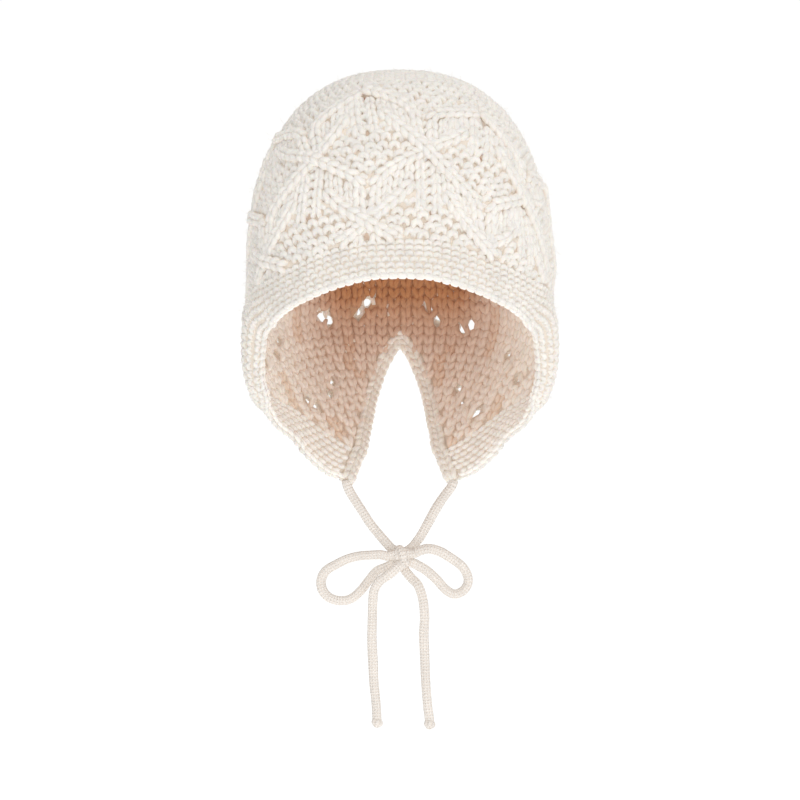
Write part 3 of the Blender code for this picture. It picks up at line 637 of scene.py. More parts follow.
def eyelet_places():
    """Angles and runs of the eyelets: two on each side of a crossing, over the ribs that come down to it."""
    places = []
    for c, row in crossings():
        if row > HALF_REPEAT:
            continue
        behind = abs(wrapped(lattice_angle(c, row))) > EYELETS_BEHIND
        for side in (-1, 1):
            for across, rise in EYELET_STEPS_BEHIND if behind else EYELET_STEPS:
                angle = float(lattice_angle(c + side * across, row + rise))
                run = float(lattice_run(angle, row + rise))
                if run < edge_run(angle) - EYELET_MARGIN:
                    places.append((angle, run))
    return np.array(places)


EYELETS = eyelet_places()
EYELET_POINTS = lookup(POINTS, EYELETS[:, 0], EYELETS[:, 1])
EYELET_OUTS = unit(lookup(NORMALS, EYELETS[:, 0], EYELETS[:, 1]))
EYELET_OUTS[:, 1] += EYELET_LEAN * (EYELET_POINTS[:, 1] > BACK_START)
EYELET_OUTS = unit(EYELET_OUTS)


def clear_of_eyelets(place):
    """Whether places leave the eyelets behind open. The ones in front lie closed, as in the photo."""
    behind = EYELET_POINTS[EYELET_POINTS[:, 1] > 0.0]
    gaps = np.linalg.norm(place[:, None] - behind[None], axis=2)
    return gaps.min(axis=1) > EYELET_CLEAR


def round_eyelets(paths, reach):
    """Centrelines led round the eyelets: wide ones behind, which stay open, and small ones in front."""
    flat = paths.reshape(-1, 3)
    for place, out in zip(EYELET_POINTS, EYELET_OUTS):
        clear = reach * (EYELET_WIDE if place[1] > BACK_START else EYELET_NARROW)
        away = flat - place
        height = away @ out
        away -= height[:, None] * out
        distance = np.maximum(np.linalg.norm(away, axis=1), 1e-5)
        near = (distance < 3 * clear) & (np.abs(height) < EYELET_DEPTH)
        pushed = (distance**3 + clear**3) ** (1 / 3)
        flat[near] += away[near] * (pushed / distance - 1)[near, None]
    return flat.reshape(paths.shape)


def stitches(
    place, side, up, out, template, radius, sides=6, scale=1.0, jitter=0.05,
    deep_from=0.0010, deep_range=0.0024, reach=0.0, dim=0.0,
):
    """Copies of a stitch's centreline at many frames, as one set of tube arrays with each point's depth,
    which sets its painted shade.
    """
    count = len(place)
    template = np.asarray(template) / MILLIMETRES
    scale = np.broadcast_to(scale, count)
    wobble = 1 + RNG.normal(0, jitter, (count, 2))
    twist = RNG.normal(0, jitter, count)
    x = template[None, :, 0] * (scale * wobble[:, 0])[:, None]
    y = template[None, :, 1] * (scale * wobble[:, 1])[:, None]
    height = np.broadcast_to(template[None, :, 2], x.shape) * scale[:, None]
    n = height + RNG.normal(0, HEIGHT_JITTER, count)[:, None]
    u = x * np.cos(twist)[:, None] - y * np.sin(twist)[:, None]
    v = x * np.sin(twist)[:, None] + y * np.cos(twist)[:, None]
    paths = place[:, None] + u[..., None] * side[:, None]
    paths = paths + v[..., None] * up[:, None] + n[..., None] * out[:, None]
    if reach:
        paths = round_eyelets(paths, reach)
    radii = np.asarray(radius)[None] / MILLIMETRES * scale[:, None]
    arrays = tube_arrays(paths, out, radii, sides)
    # Painted shade: the lower a point lies in its stitch, the more it takes the colour of the darker
    # crevices; dim adds more of it.
    height = ((arrays[0] - place[:, None, None]) * out[:, None, None]).sum(-1)
    painted_shade = np.clip((deep_from - height) / deep_range + np.broadcast_to(dim, count)[:, None, None], 0, 1)
    return [*arrays, painted_shade.ravel()]


def joined(name, sets):
    """One mesh from several sets of tube arrays."""
    points, faces, uvs, painted_shade = [], [], [], []
    start = 0
    for tube_points, quads, caps, quad_uv, cap_uv, depth in sets:
        flat = tube_points.reshape(-1, 3)
        points.append(flat)
        faces += [quads + start, caps + start]
        uvs += [quad_uv, cap_uv]
        painted_shade.append(depth)
        start += len(flat)
    return new_mesh(name, np.concatenate(points), faces, uvs, np.concatenate(painted_shade))


def mirrored(template):
    return tuple((-x, y, n) for x, y, n in template)


def chain_frames(c, row, lift):
    """Frames of V stitches along a path in the lattice, given by its columns, rows and heights."""
    t = np.linspace(0, 1, len(c))
    fine = np.linspace(0, 1, 16 * len(c))
    coarse = np.stack([np.interp(fine, t, values) for values in (c, row, lift)], axis=1)
    c, row, lift = evened(coarse, 9, "reflect").T
    angle = lattice_angle(c, row)
    run = lattice_run(angle, row)
    place, _, _, out = frames(angle, run, lift)
    length = lengths_along(place)
    count = int(round(length[-1] / CHAIN_PITCH))
    if count < 1:
        return None
    at = (np.arange(count) + 0.5) * length[-1] / count
    centre = between(at, length, place)
    normal = unit(between(at, length, out))
    up = square_to(between(at + CHAIN_LOOK, length, place) - between(at - CHAIN_LOOK, length, place), normal)
    angle_at = np.degrees(np.interp(at, length, np.unwrap(np.radians(angle))))
    run_at = np.interp(at, length, run)
    stretch = np.full(count, length[-1] / count / CHAIN_PITCH)
    keep = run_at < edge_run(angle_at) - CHAIN_MARGIN
    return [values[keep] for values in (centre, np.cross(up, normal), up, normal, stretch, angle_at, run_at)]


def gathered(parts):
    """Frames of many chains as one set of arrays, without the chains that have no stitch."""
    parts = [p for p in parts if p is not None and len(p[0])]
    return [np.concatenate(values) for values in zip(*parts)]


def rib_chains():
    """The cable strands: each comes down to a crossing, passes over or under the other one and goes on."""
    parts = []
    for c, row in crossings():
        first = 0 if row < REPEAT else TOP_STRAND_START
        for side in (-1, 1):
            over = STRAND_OVER if side == 1 else STRAND_UNDER
            across, rows = STRAND.T
            lift = STRAND_LIFT + over * np.exp(-(across**2)) - STRAND_FOOT * (rows < STRAND_FOOT_ROW)
            lift[0] = -STRAND_FOOT
            parts.append(chain_frames(c + side * across[first:], row + rows[first:], lift[first:]))
    return gathered(parts)


def fan_chains():
    """The plain columns beside each furrow, from the upper rib down to the lower one."""
    parts = []
    for c, row in crossings():
        for side in (-1, 1):
            for top, foot, high, low in FAN_COLUMNS:
                across = side * np.linspace(top, foot, 4)
                parts.append(chain_frames(c + across, row - np.linspace(high, low, 4), np.full(4, FAN_LIFT)))
    return gathered(parts)


def above_edge(found, margin, flap_margin):
    """The angles and runs that lie above the edge, by one margin at the face and another at the nape."""
    behind = np.abs(wrapped(found[:, 0])) > FLAP_CORNER_ANGLE
    return found[found[:, 1] < edge_run(found[:, 0]) + margin + flap_margin * behind]


def ring_round(run, depth):
    """The length round the form at a run, at a depth under it."""
    angles = np.arange(-180, 180, 2.0)
    runs = np.full(len(angles), run)
    outline = lookup(POINTS, angles, runs) - depth * lookup(NORMALS, angles, runs)
    return np.linalg.norm(outline - np.roll(outline, 1, axis=0), axis=1).sum()


def diamond_purls():
    """Angles and runs of the purl bumps in the diamonds, by rows about each one's middle."""
    found = []
    for c in range(0, COLUMNS, HALF_REPEAT):
        first = HALF_REPEAT if (c - COLUMNS // 2) % REPEAT == 0 else 0
        for crossing in range(first - 2 * REPEAT, 2 * REPEAT + 1, REPEAT):
            for j in range(-4, 6):
                row = crossing - HALF_REPEAT - j * PURL_ROW / ROW_HEIGHT
                if row > DIAMOND_TOP or row < DIAMOND_FOOT:
                    continue
                down = crossing - row
                limit = min(2 * (down - 2), 2 * (6 - down)) - DIAMOND_MARGIN
                angle = lattice_angle(np.array((c, c + 1.0)), row)
                pair = lookup(POINTS, angle, lattice_run(angle, row))
                pitch = PURL_WIDTH / max(np.linalg.norm(pair[1] - pair[0]), 1e-4)
                for offset in (np.arange(-8, 9) + 0.5 * (j % 2)) * pitch:
                    in_furrow = down < FURROW_ROWS and abs(offset) < PURL_FURROW
                    if abs(offset) <= limit and not in_furrow:
                        a = float(lattice_angle(c + offset, row))
                        found.append((a, float(lattice_run(a, row))))
    return found


def top_purls():
    """Angles and runs of the purl bumps over the crown's top, in rings."""
    found = []
    for ring, run in enumerate((np.arange(TOP_RINGS) + 0.6) * PURL_ROW):
        count = max(3, round(ring_round(run, 0.0) / PURL_WIDTH))
        angles = -180 + (np.arange(count) + 0.5 * (ring % 2)) * 360.0 / count
        below = run < line_run(angles) - LATTICE_TOP - TOP_PURL_MARGIN
        found += [(angle, run) for angle in angles[below]]
    return found


def filling_places(taken):
    """Angles and runs of more bumps, wherever the wall would still show between the stitches there are."""
    tree = KDTree(len(taken))
    for i, place in enumerate(taken):
        tree.insert(place, i)
    tree.balance()
    found = []
    centres = []
    for j, run in enumerate(np.arange(0.002, RUNS[-1], FILLING_ROW)):
        around = 2 * math.pi * max(min(HALF_WIDTH, run), 0.004)
        count = int(around / FILLING_STEP)
        angles = -180 + (np.arange(count) + 0.5 * (j % 2)) * 360.0 / count
        angles = angles[run < edge_run(angles) - FILLING_MARGIN]
        for angle, place in zip(angles, lookup(POINTS, angles, np.full(len(angles), run))):
            if tree.find(place)[2] < FILLING_GAP:
                continue
            recent = np.array(centres[-FILLING_MEMORY:])
            if centres and np.min(np.linalg.norm(recent - place, axis=1)) < FILLING_APART:
                continue
            centres.append(place)
            found.append((angle, run))
    return np.array(found)


def furrows(angle, run, width=0.42):
    """Whether places lie on the furrows under the crossings or on the seam behind. width is in columns."""
    row = (line_run(angle) - FIRST_CROSSING - run) / ROW_HEIGHT
    c = lattice_column(angle, row)
    sunk = np.abs(lookup(POINTS, angle, run)[..., 0]) < SEAM_HALF * (np.abs(angle) > 90)
    for base_column, base_row in ((COLUMNS / 2, HALF_REPEAT), (COLUMNS / 2 + HALF_REPEAT, 0)):
        beside = np.abs(np.mod(c - base_column + HALF_REPEAT, REPEAT) - HALF_REPEAT)
        down = np.mod(base_row - row, REPEAT)
        sunk |= (beside < width) & (down > FURROW_START) & (down < FURROW_END) & (row < REPEAT)
    return sunk


def lining_places():
    """Angles, runs and pitches of the plain stitches on the inside."""
    found = []
    for run in LINING_START + np.arange(LINING_RINGS) * LINING_ROW:
        if run >= RUNS[-1]:
            break
        around = ring_round(run, LINING_DEPTH)
        count = max(5, min(LINING_MOST, int(round(around / LINING_WIDTH / LINING_GROUP)) * LINING_GROUP))
        for angle in -180 + (np.arange(count) + 0.5) * 360.0 / count:
            found.append((angle, run, around / count))
    return above_edge(np.array(found), 0.0004, NAPE_MARGIN)


def add_painted_warm_shade(mesh, first=0, furrow=()):
    """How much painted shade each point gets, darker and oranger, standing for the shade inside and the
    light that has come through the yarn: most of it behind the crown's middle, and some painted shadow on
    the furrows.
    """
    places = np.empty(len(mesh.vertices) * 3, np.float32)
    mesh.vertices.foreach_get("co", places)
    x, _, z = places.reshape(-1, 3).T
    across = np.clip((0.062 - np.abs(x)) / 0.038, 0, 1)
    high = np.interp(z, (-0.165, -0.128, -0.098), (0.12, 0.42, 1.0))
    attribute = mesh.attributes.new("painted_warm_shade", "FLOAT", "POINT")
    value = across * (3 - 2 * across) * across * high * (np.arange(len(x)) >= first)
    value[list(furrow)] = FURROW_PAINTED_SHADOW
    attribute.data.foreach_set("value", value.astype(np.float32))
    return mesh


def base_shell():
    """The thin closed wall behind the stitches, with the eyelets cut through."""
    columns = SHELL_COLUMNS
    rows = SHELL_ROWS
    angles = -180 + np.arange(columns) * 360.0 / columns
    shares = np.linspace(0, 1, rows + 1)[1:]
    angle = np.repeat(angles[:, None], rows, axis=1)
    run = edge_run(angles)[:, None] * shares[None]
    row = (line_run(angle) - FIRST_CROSSING - run) / ROW_HEIGHT
    relief = rib_heights(lattice_column(angle, row), row) * (row < SHELL_RIB_TOP)
    sunk = furrows(angle, run, 0.3)
    relief = np.where(sunk, -0.0002, relief)
    place, _, _, out = frames(angle, run, 0.0)
    outer = place + out * (relief - SHELL_OUTER)[..., None]
    inner = place - out * SHELL_INNER
    top = [(0, 0, WALL - SHELL_TOP), (0, 0, WALL - SHELL_INNER)]
    points = np.concatenate([outer.reshape(-1, 3), inner.reshape(-1, 3), top])
    open_cells = np.zeros((columns, rows - 1), bool)
    for eyelet in EYELET_POINTS:
        i, j = divmod(np.argmin(((place - eyelet) ** 2).sum(-1)), rows)
        if 1 <= j < rows - 3:
            beside = [(i - 2) % columns, (i - 1) % columns, i, (i + 1) % columns]
            open_cells[np.ix_(beside, [max(j - 2, 0), j - 1, j, j + 1])] = True
    shift = columns * rows
    grid = np.arange(shift).reshape(columns, rows)
    a = grid[:, :-1]
    b = grid[:, 1:]
    quads = np.stack([a, b, np.roll(b, -1, 0), np.roll(a, -1, 0)], axis=-1)
    kept = quads[~open_cells]
    walls = []
    for i, j in zip(*np.nonzero(open_cells)):
        corners = quads[i, j]
        sides = (((i - 1) % columns, j), (i, j + 1), ((i + 1) % columns, j), (i, j - 1))
        for k, (ni, nj) in enumerate(sides):
            if not (0 <= nj < rows - 1 and open_cells[ni, nj]):
                p, q = corners[k], corners[(k + 1) % 4]
                walls.append((p, q, q + shift, p + shift))
    edge = grid[:, -1]
    rim = np.stack([edge, edge + shift, np.roll(edge, -1) + shift, np.roll(edge, -1)], axis=1)
    first = grid[:, 0]
    tops = np.full(columns, 2 * shift)
    outer_cap = np.stack([tops, first, np.roll(first, -1)], axis=1)
    inner_cap = np.stack([tops + 1, np.roll(first, -1) + shift, first + shift], axis=1)
    faces = [kept, kept[:, ::-1] + shift, np.array(walls), rim, outer_cap, inner_cap]
    # Painted shade on the inner face and painted shadow in the outer furrows.
    return add_painted_warm_shade(new_mesh("crown_wall", points, faces), shift, np.nonzero(sunk.ravel())[0])


def chord(angles, reach, first, last):
    """Ways along the knitting's edge, read over some degrees on both sides of each angle."""
    before = np.maximum(angles - reach, first)
    after = np.minimum(angles + reach, last)
    return lookup(POINTS, after, edge_run(after)) - lookup(POINTS, before, edge_run(before))


def stations_at(angles, along):
    """Where a strip leaves the edge: its middle, outward side, way off the edge, flare, curl and width."""
    run = edge_run(angles)
    out = unit(lookup(NORMALS, angles, run))
    middle = lookup(POINTS, angles, run) - out * WALL / 2
    off = unit(np.cross(out, along))
    down = -lookup(UPS, angles, run)
    off = off * np.sign((off * down).sum(-1, keepdims=True))
    share = np.minimum(np.abs(angles) / FLAP_CORNER_ANGLE, 1)
    flare = np.radians(smooth(BAND_RUN[:, 0], BAND_RUN[:, 1], share))
    curl = np.radians(smooth(BAND_RUN[:, 0], BAND_RUN[:, 2], share))
    width = BAND_WIDTH * smooth(BAND_RUN[:, 0], BAND_RUN[:, 3], share)
    return middle, out, off, flare, curl, width


def band_stations():
    """The band's stations from flap tip to flap tip."""
    angles = np.linspace(-FLAP_CORNER_ANGLE, FLAP_CORNER_ANGLE, int(2 * FLAP_CORNER_ANGLE / BAND_STEP) + 1)
    reach = np.clip(FLAP_CORNER_ANGLE - np.abs(angles), BAND_EVENING / 5, BAND_EVENING)
    return stations_at(angles, chord(angles, reach, -FLAP_CORNER_ANGLE, FLAP_CORNER_ANGLE))


def band_places(stations, share):
    """The middle of the band's thickness at a share of its width for all stations, and its outward side."""
    middle, out, off, flare, curl, width = stations
    run = width * share
    steps = (np.arange(12) + 0.5) / 12 * run[:, None]
    turns = flare[:, None] * np.minimum(steps / BAND_BEND, 1) - curl[:, None] * steps / width[:, None]
    ahead = (np.cos(turns)[..., None] * off[:, None] + np.sin(turns)[..., None] * out[:, None]).mean(axis=1)
    turned = flare * np.minimum(run / BAND_BEND, 1) - curl * run / width
    side = np.cos(turned)[:, None] * out - np.sin(turned)[:, None] * off
    onward = np.cos(turned)[:, None] * off + np.sin(turned)[:, None] * out
    return middle + ahead * run[:, None], side, onward


def spaced_frames(points, normals, pitch, phase=0.0):
    """Frames at an even pitch along a line: sideways along the line, up across it, out as given."""
    length = lengths_along(points)
    count = max(1, int(round(length[-1] / pitch)))
    at = (np.arange(count) + 0.5 + phase) * length[-1] / count
    at = at[at < length[-1]]
    out = unit(between(at, length, normals))
    side = square_to(between(at + LINE_LOOK, length, points) - between(at - LINE_LOOK, length, points), out)
    return between(at, length, points), side, np.cross(out, side), out


def strip(name, rings):
    """A closed strip from the lines of its section, with flat ends."""
    section = np.stack(rings, axis=1)
    index = np.arange(section.shape[0] * section.shape[1]).reshape(section.shape[:2])
    a, b = index[:-1], index[1:]
    quads = np.stack([a, np.roll(a, -1, 1), np.roll(b, -1, 1), b], axis=-1).reshape(-1, 4)
    return new_mesh(name, section.reshape(-1, 3), [quads, np.stack([index[0][::-1], index[-1]])])


def band_pieces():
    """The band's base strip and its garter stitches on both faces, with a rounded rim."""
    stations = band_stations()
    outer = []
    inner = []
    for share in np.linspace(0.0, 1.0, 9):
        place, side, _ = band_places(stations, share)
        outer.append(place + side * BAND_BASE_HALF)
        inner.append(place - side * BAND_BASE_HALF)
    base = strip("band_base", outer + inner[::-1])
    sets = {1: [], -1: []}
    bump = np.array(PURL) * (1, 0.72, 1)
    scale = GARTER_WIDTH / PURL_WIDTH
    for face in (1, -1):
        for j in range(BAND_ROWS):
            place, side, _ = band_places(stations, (j + 0.42) / BAND_ROWS)
            line = place + face * side * BAND_LIFT
            f = spaced_frames(line, face * side, GARTER_WIDTH, 0.5 * (j % 2))
            row = stitches(*f, bump, PURL_RADIUS, scale=scale, deep_from=0.0006, deep_range=0.0018)
            sets[face].append(row)
    place, side, onward = band_places(stations, 0.985)
    for face in (1, -1):
        line = place + face * side * RIM_LIFT
        f = spaced_frames(line, unit(onward + face * side * 0.9), GARTER_WIDTH * 0.95, 0.25 * face)
        sets[face].append(stitches(*f, RIM, RIM_RADIUS, deep_from=0.0, deep_range=0.0016))
    return base, joined("band_outside", sets[1]), joined("band_inside", sets[-1])


def edging_line(share):
    """The notch's edge from tip to tip: places at a share of the width, outward sides and ways off."""
    stations = band_stations()
    tips = []
    for end, beside, order in ((-1, -3, 1), (0, 2, -1)):
        rows = []
        for part in np.linspace(1.0, 0.1, 8)[::order]:
            place, side, onward = band_places(stations, part)
            off = unit(np.cross(onward[end], side[end]))
            off = off * np.sign(off @ (place[end] - place[beside]))
            rows.append((place[end], side[end], off))
        tips.append([np.array(values) for values in zip(*rows)])
    last = 360 - FLAP_CORNER_ANGLE
    angles = np.linspace(FLAP_CORNER_ANGLE, last, 62)
    along = chord(angles, 2.5, FLAP_CORNER_ANGLE, last)
    notch = stations_at(wrapped(angles), along)
    place, outs, offs = (np.concatenate([tips[0][k], notch[k], tips[1][k]]) for k in range(3))
    offs = unit(evened(offs, 5, "edge"))
    return place + offs * EDGING_WIDTH * share, outs, offs


def edging_pieces():
    """The edging's base strip and its V chains: one outside, one inside and one along the rim."""
    rings = []
    for share, face in ((0.05, 1), (0.45, 1), (0.85, 1), (0.85, -1), (0.45, -1), (0.05, -1)):
        place, outs, _ = edging_line(share)
        rings.append(place + face * outs * EDGING_BASE_HALF)
    base = strip("edging_base", rings)
    outer_sets = []
    inner_sets = []
    for share, face, lean, lift in ((0.5, 1, 0.0, 0.0012), (0.5, -1, 0.0, 0.0012), (0.9, 0, 1.0, 0.0002)):
        sets = outer_sets if face == 1 else inner_sets
        place, outs, offs = edging_line(share)
        normal = unit(face * outs + lean * offs)
        centre, side, up, out = spaced_frames(place + normal * lift, normal, EDGING_PITCH)
        for template in (LEG, mirrored(LEG)):
            shape = np.array(template) * (1.0, 0.95, 1.0)
            sets.append(stitches(centre, up, side, out, shape, LEG_RADIUS, deep_from=0.0003))
    return base, joined("edging_outside", outer_sets), joined("edging_inside", inner_sets)


def route(points):
    """Evenly spaced points on a smooth curve through the chosen ones, and the curve's length."""
    chosen = np.array(points)
    ends = np.concatenate([[2 * chosen[0] - chosen[1]], chosen, [2 * chosen[-1] - chosen[-2]]])
    fine = []
    t = np.linspace(0, 1, 14, endpoint=False)[:, None]
    for i in range(len(chosen) - 1):
        a, b, c, d = ends[i : i + 4]
        curve = 2 * b + (c - a) * t + (2 * a - 5 * b + 4 * c - d) * t**2
        fine.append(0.5 * (curve + (3 * b - a - 3 * c + d) * t**3))
    fine = np.concatenate([*fine, chosen[-1:]])
    length = lengths_along(fine)
    even = np.linspace(0, length[-1], int(length[-1] / CORD_STEP) + 1)
    return between(even, length, fine), length[-1]


def flat_cord(name, points, material, waves, replaced):
    """A flat knitted cord along a route, whose broad side faces the front and turns a little along it."""
    path, length = route(points)
    turn = CORD_TURN * np.sin(np.linspace(0, 1, len(path)) * waves[0] + waves[1])
    tangent = unit(np.gradient(path, axis=0))
    front = np.array((0.0, -1.0, 0.0))
    facing = unit(evened(unit(front - (tangent @ front)[:, None] * tangent), 9, "edge"))
    beside = np.cross(tangent, facing)
    refs = np.cos(turn)[:, None] * facing + np.sin(turn)[:, None] * beside
    radii = np.full((1, len(path)), CORD_WIDTH / 2)
    arrays = tube_arrays(path[None], refs[None], radii, 16, CORD_THICKNESS / CORD_WIDTH)
    mesh = joined(name, [[*arrays, np.zeros(arrays[0].size // 3)]])
    return new_piece(name, mesh, material, replaced), path, float(length)


def lump(name, size, place, material, replaced, strands):
    """A knot: closed strands of cord wound round one place, by tilt, spin, share of the size and radius."""
    angle = np.linspace(0, 2 * math.pi, 40)
    sets = []
    for tilt, spin, share, radius in strands:
        ring = np.stack([np.cos(angle), np.sin(angle), np.zeros(len(angle))], axis=1) * share
        turn = np.array(Matrix.Rotation(spin, 3, "Z"))
        lean = np.array(Matrix.Rotation(tilt, 3, "Y"))
        ring = (ring @ lean.T @ turn.T) * np.array(size) / 2
        radii = np.full((1, len(angle)), radius)
        arrays = tube_arrays((ring + place)[None], unit(ring)[None], radii, 10, 0.72)
        sets.append([*arrays, np.zeros(arrays[0].size // 3)])
    return new_piece(name, joined(name, sets), material, replaced)


def with_painted_warm_shade(nodes, links, colour, painted_warm_shade):
    """The colour turned darker and oranger by the piece's own attribute, which grows towards the middle of
    the back: painted shade and backlight.
    """
    attribute = nodes.new("ShaderNodeAttribute")
    attribute.attribute_name = "painted_warm_shade"
    blend = nodes.new("ShaderNodeMix")
    blend.data_type = "RGBA"
    blend.blend_type = "MULTIPLY"
    blend.inputs["B"].default_value = (*painted_warm_shade, 1.0)
    links.new(attribute.outputs["Fac"], blend.inputs["Factor"])
    links.new(colour, blend.inputs["A"])
    return blend.outputs["Result"]


def noise(nodes, links, vector, scale, detail):
    """A noise texture read at a vector."""
    texture = nodes.new("ShaderNodeTexNoise")
    texture.inputs["Scale"].default_value = scale
    texture.inputs["Detail"].default_value = detail
    links.new(vector, texture.inputs["Vector"])
    return texture.outputs["Fac"]


def shades(nodes, links, factor, stops):
    """A colour ramp through its stops, each a place and a colour."""
    ramp = nodes.new("ShaderNodeValToRGB")
    elements = ramp.color_ramp.elements
    for _ in stops[2:]:
        elements.new(0.5)
    for element, (place, colour) in zip(elements, stops):
        element.position = place
        element.color = (*colour, 1.0)
    links.new(factor, ramp.inputs["Fac"])
    return ramp.outputs["Color"]


def bumped(nodes, links, height, strength, distance, normal=None):
    """A bump's normal, on top of another one where one is given."""
    bump = nodes.new("ShaderNodeBump")
    bump.inputs["Strength"].default_value = strength
    bump.inputs["Distance"].default_value = distance
    links.new(height, bump.inputs["Height"])
    if normal:
        links.new(normal, bump.inputs["Normal"])
    return bump.outputs["Normal"]


def yarn(name, colour, crevice_shade, v_marks=False, subsurface=0.12, painted_warm_shade=None, painted_glow=0.05):
    """Cotton yarn: twisted plies and fine fibres in the bump, a little light scattered inside, a colour that
    glows as painted light, and painted shade, warmer, where the points lie deeper.
    """
    material = bpy.data.materials.new(name)
    material.use_nodes = True
    nodes = material.node_tree.nodes
    links = material.node_tree.links
    shader = nodes["Principled BSDF"]
    shader.inputs["Roughness"].default_value = 0.9
    shader.inputs["Specular IOR Level"].default_value = 0.25
    shader.inputs["Sheen Weight"].default_value = 0.25
    shader.inputs["Sheen Roughness"].default_value = 0.6
    shader.inputs["Sheen Tint"].default_value = (1.0, 0.96, 0.9, 1.0)
    if subsurface:
        shader.inputs["Subsurface Weight"].default_value = subsurface
        shader.inputs["Subsurface Radius"].default_value = (1.0, 0.55, 0.3)
        shader.inputs["Subsurface Scale"].default_value = 0.0022
    uv = nodes.new("ShaderNodeUVMap")
    uv.uv_map = "yarn"
    mottle = noise(nodes, links, nodes.new("ShaderNodeTexCoord").outputs["Object"], 160.0, 3.0)
    dark = tuple(c * 0.93 for c in colour)
    light = tuple(min(c * 1.03, 1.0) for c in colour)
    tint = shades(nodes, links, mottle, ((0.3, dark), (0.7, light)))
    # Painted shade in the crevices between stitches, darker and more peach where the points lie lower.
    painted_shade = nodes.new("ShaderNodeAttribute")
    painted_shade.attribute_name = "painted_shade"
    blend = nodes.new("ShaderNodeMix")
    blend.data_type = "RGBA"
    blend.inputs["B"].default_value = (*crevice_shade, 1.0)
    links.new(painted_shade.outputs["Fac"], blend.inputs["Factor"])
    links.new(tint, blend.inputs["A"])
    result = blend.outputs["Result"]
    if painted_warm_shade:
        result = with_painted_warm_shade(nodes, links, result, painted_warm_shade)
    links.new(result, shader.inputs["Base Color"])
    # Painted light: the yarn gives off its own colour, so it glows though no lamp is there.
    links.new(result, shader.inputs["Emission Color"])
    shader.inputs["Emission Strength"].default_value = painted_glow
    split = nodes.new("ShaderNodeSeparateXYZ")
    links.new(uv.outputs["UV"], split.inputs["Vector"])

    def maths(operation, first, second=None):
        node = nodes.new("ShaderNodeMath")
        node.operation = operation
        for socket, value in zip(node.inputs, (first, second)):
            if isinstance(value, (int, float)):
                socket.default_value = value
            elif value is not None:
                links.new(value, socket)
        return node.outputs["Value"]

    # On the cords the V marks set the blend instead: painted shade in the grooves between the plies and the
    # V columns.
    if v_marks:
        across = maths("PINGPONG", maths("MULTIPLY", split.outputs["Y"], 18.0), 1.0)
        phase = maths("ADD", maths("MULTIPLY", split.outputs["X"], 4.6), maths("MULTIPLY", across, 2.4))
        gap = maths("POWER", maths("SUBTRACT", 1.0, across), 3.0)
        plies = maths("SUBTRACT", maths("SINE", phase), maths("MULTIPLY", gap, 1.6))
        links.new(maths("MULTIPLY", maths("SUBTRACT", 0.6, plies), 0.22), blend.inputs["Factor"])
    else:
        spiral = maths("MULTIPLY", split.outputs["Y"], 4 * math.pi)
        plies = maths("SINE", maths("ADD", maths("MULTIPLY", split.outputs["X"], 2.4), spiral))
    scaled = nodes.new("ShaderNodeMapping")
    scaled.inputs["Scale"].default_value = (0.8, 9.0, 1.0)
    links.new(uv.outputs["UV"], scaled.inputs["Vector"])
    fibres = noise(nodes, links, scaled.outputs["Vector"], 3.0, 4.0)
    normal = bumped(nodes, links, plies, 0.6, V_MARK_DEPTH if v_marks else PLY_DEPTH)
    links.new(bumped(nodes, links, fibres, 0.7, FIBRE_DEPTH, normal), shader.inputs["Normal"])
    return material


def felt(name, colour, painted_warm_shade):
    """The wall behind the stitches: loose yarn seen only between them, with painted shade inside and in its
    furrows, and painted light given off.
    """
    material = bpy.data.materials.new(name)
    material.use_nodes = True
    nodes = material.node_tree.nodes
    links = material.node_tree.links
    shader = nodes["Principled BSDF"]
    shader.inputs["Roughness"].default_value = 1.0
    shader.inputs["Specular IOR Level"].default_value = 0.1
    fluff = noise(nodes, links, nodes.new("ShaderNodeTexCoord").outputs["Object"], 900.0, 4.0)
    dark = tuple(c * 0.8 for c in colour)
    result = with_painted_warm_shade(nodes, links, shades(nodes, links, fluff, ((0.0, dark), (1.0, colour))), painted_warm_shade)
    links.new(result, shader.inputs["Base Color"])
    links.new(result, shader.inputs["Emission Color"])
    # Painted light: the wall gives off its own colour.
    shader.inputs["Emission Strength"].default_value = 0.12
    links.new(bumped(nodes, links, fluff, 1.0, FELT_DEPTH), shader.inputs["Normal"])
    return material


def fuzz(names, each=1500):
    """Short loose fibres standing off the yarn, a few on every part of the outside."""
    starts = []
    outs = []
    for name in names:
        mesh = bpy.data.objects[name].data
        places = np.empty(len(mesh.vertices) * 3, np.float32)
        normals = np.empty(len(mesh.vertices) * 3, np.float32)
        painted_shade = np.empty(len(mesh.vertices), np.float32)
        mesh.vertices.foreach_get("co", places)
        mesh.vertices.foreach_get("normal", normals)
        mesh.attributes["painted_shade"].data.foreach_get("value", painted_shade)
        chosen = RNG.choice(np.nonzero(painted_shade < 0.3)[0], each, replace=False)
        starts.append(places.reshape(-1, 3)[chosen])
        outs.append(normals.reshape(-1, 3)[chosen])
    start = np.concatenate(starts)
    out = np.concatenate(outs)
    count = len(start)
    lean = unit(out + RNG.normal(0, 0.9, (count, 3)))
    bend = RNG.normal(0, 0.5, (count, 3))
    length = RNG.uniform(FIBRE_SHORT, FIBRE_LONG, count)
    share = np.linspace(0, 1, 4)[None, :, None]
    paths = start[:, None] + length[:, None, None] * (lean[:, None] * share + bend[:, None] * share**2 * 0.6)
    refs = unit(np.cross(lean, RNG.normal(0, 1, (count, 3))))
    arrays = tube_arrays(paths, refs, np.full((count, 4), FIBRE_RADIUS), 3)
    return joined("fuzz", [[*arrays, np.zeros(arrays[0].size // 3)]])


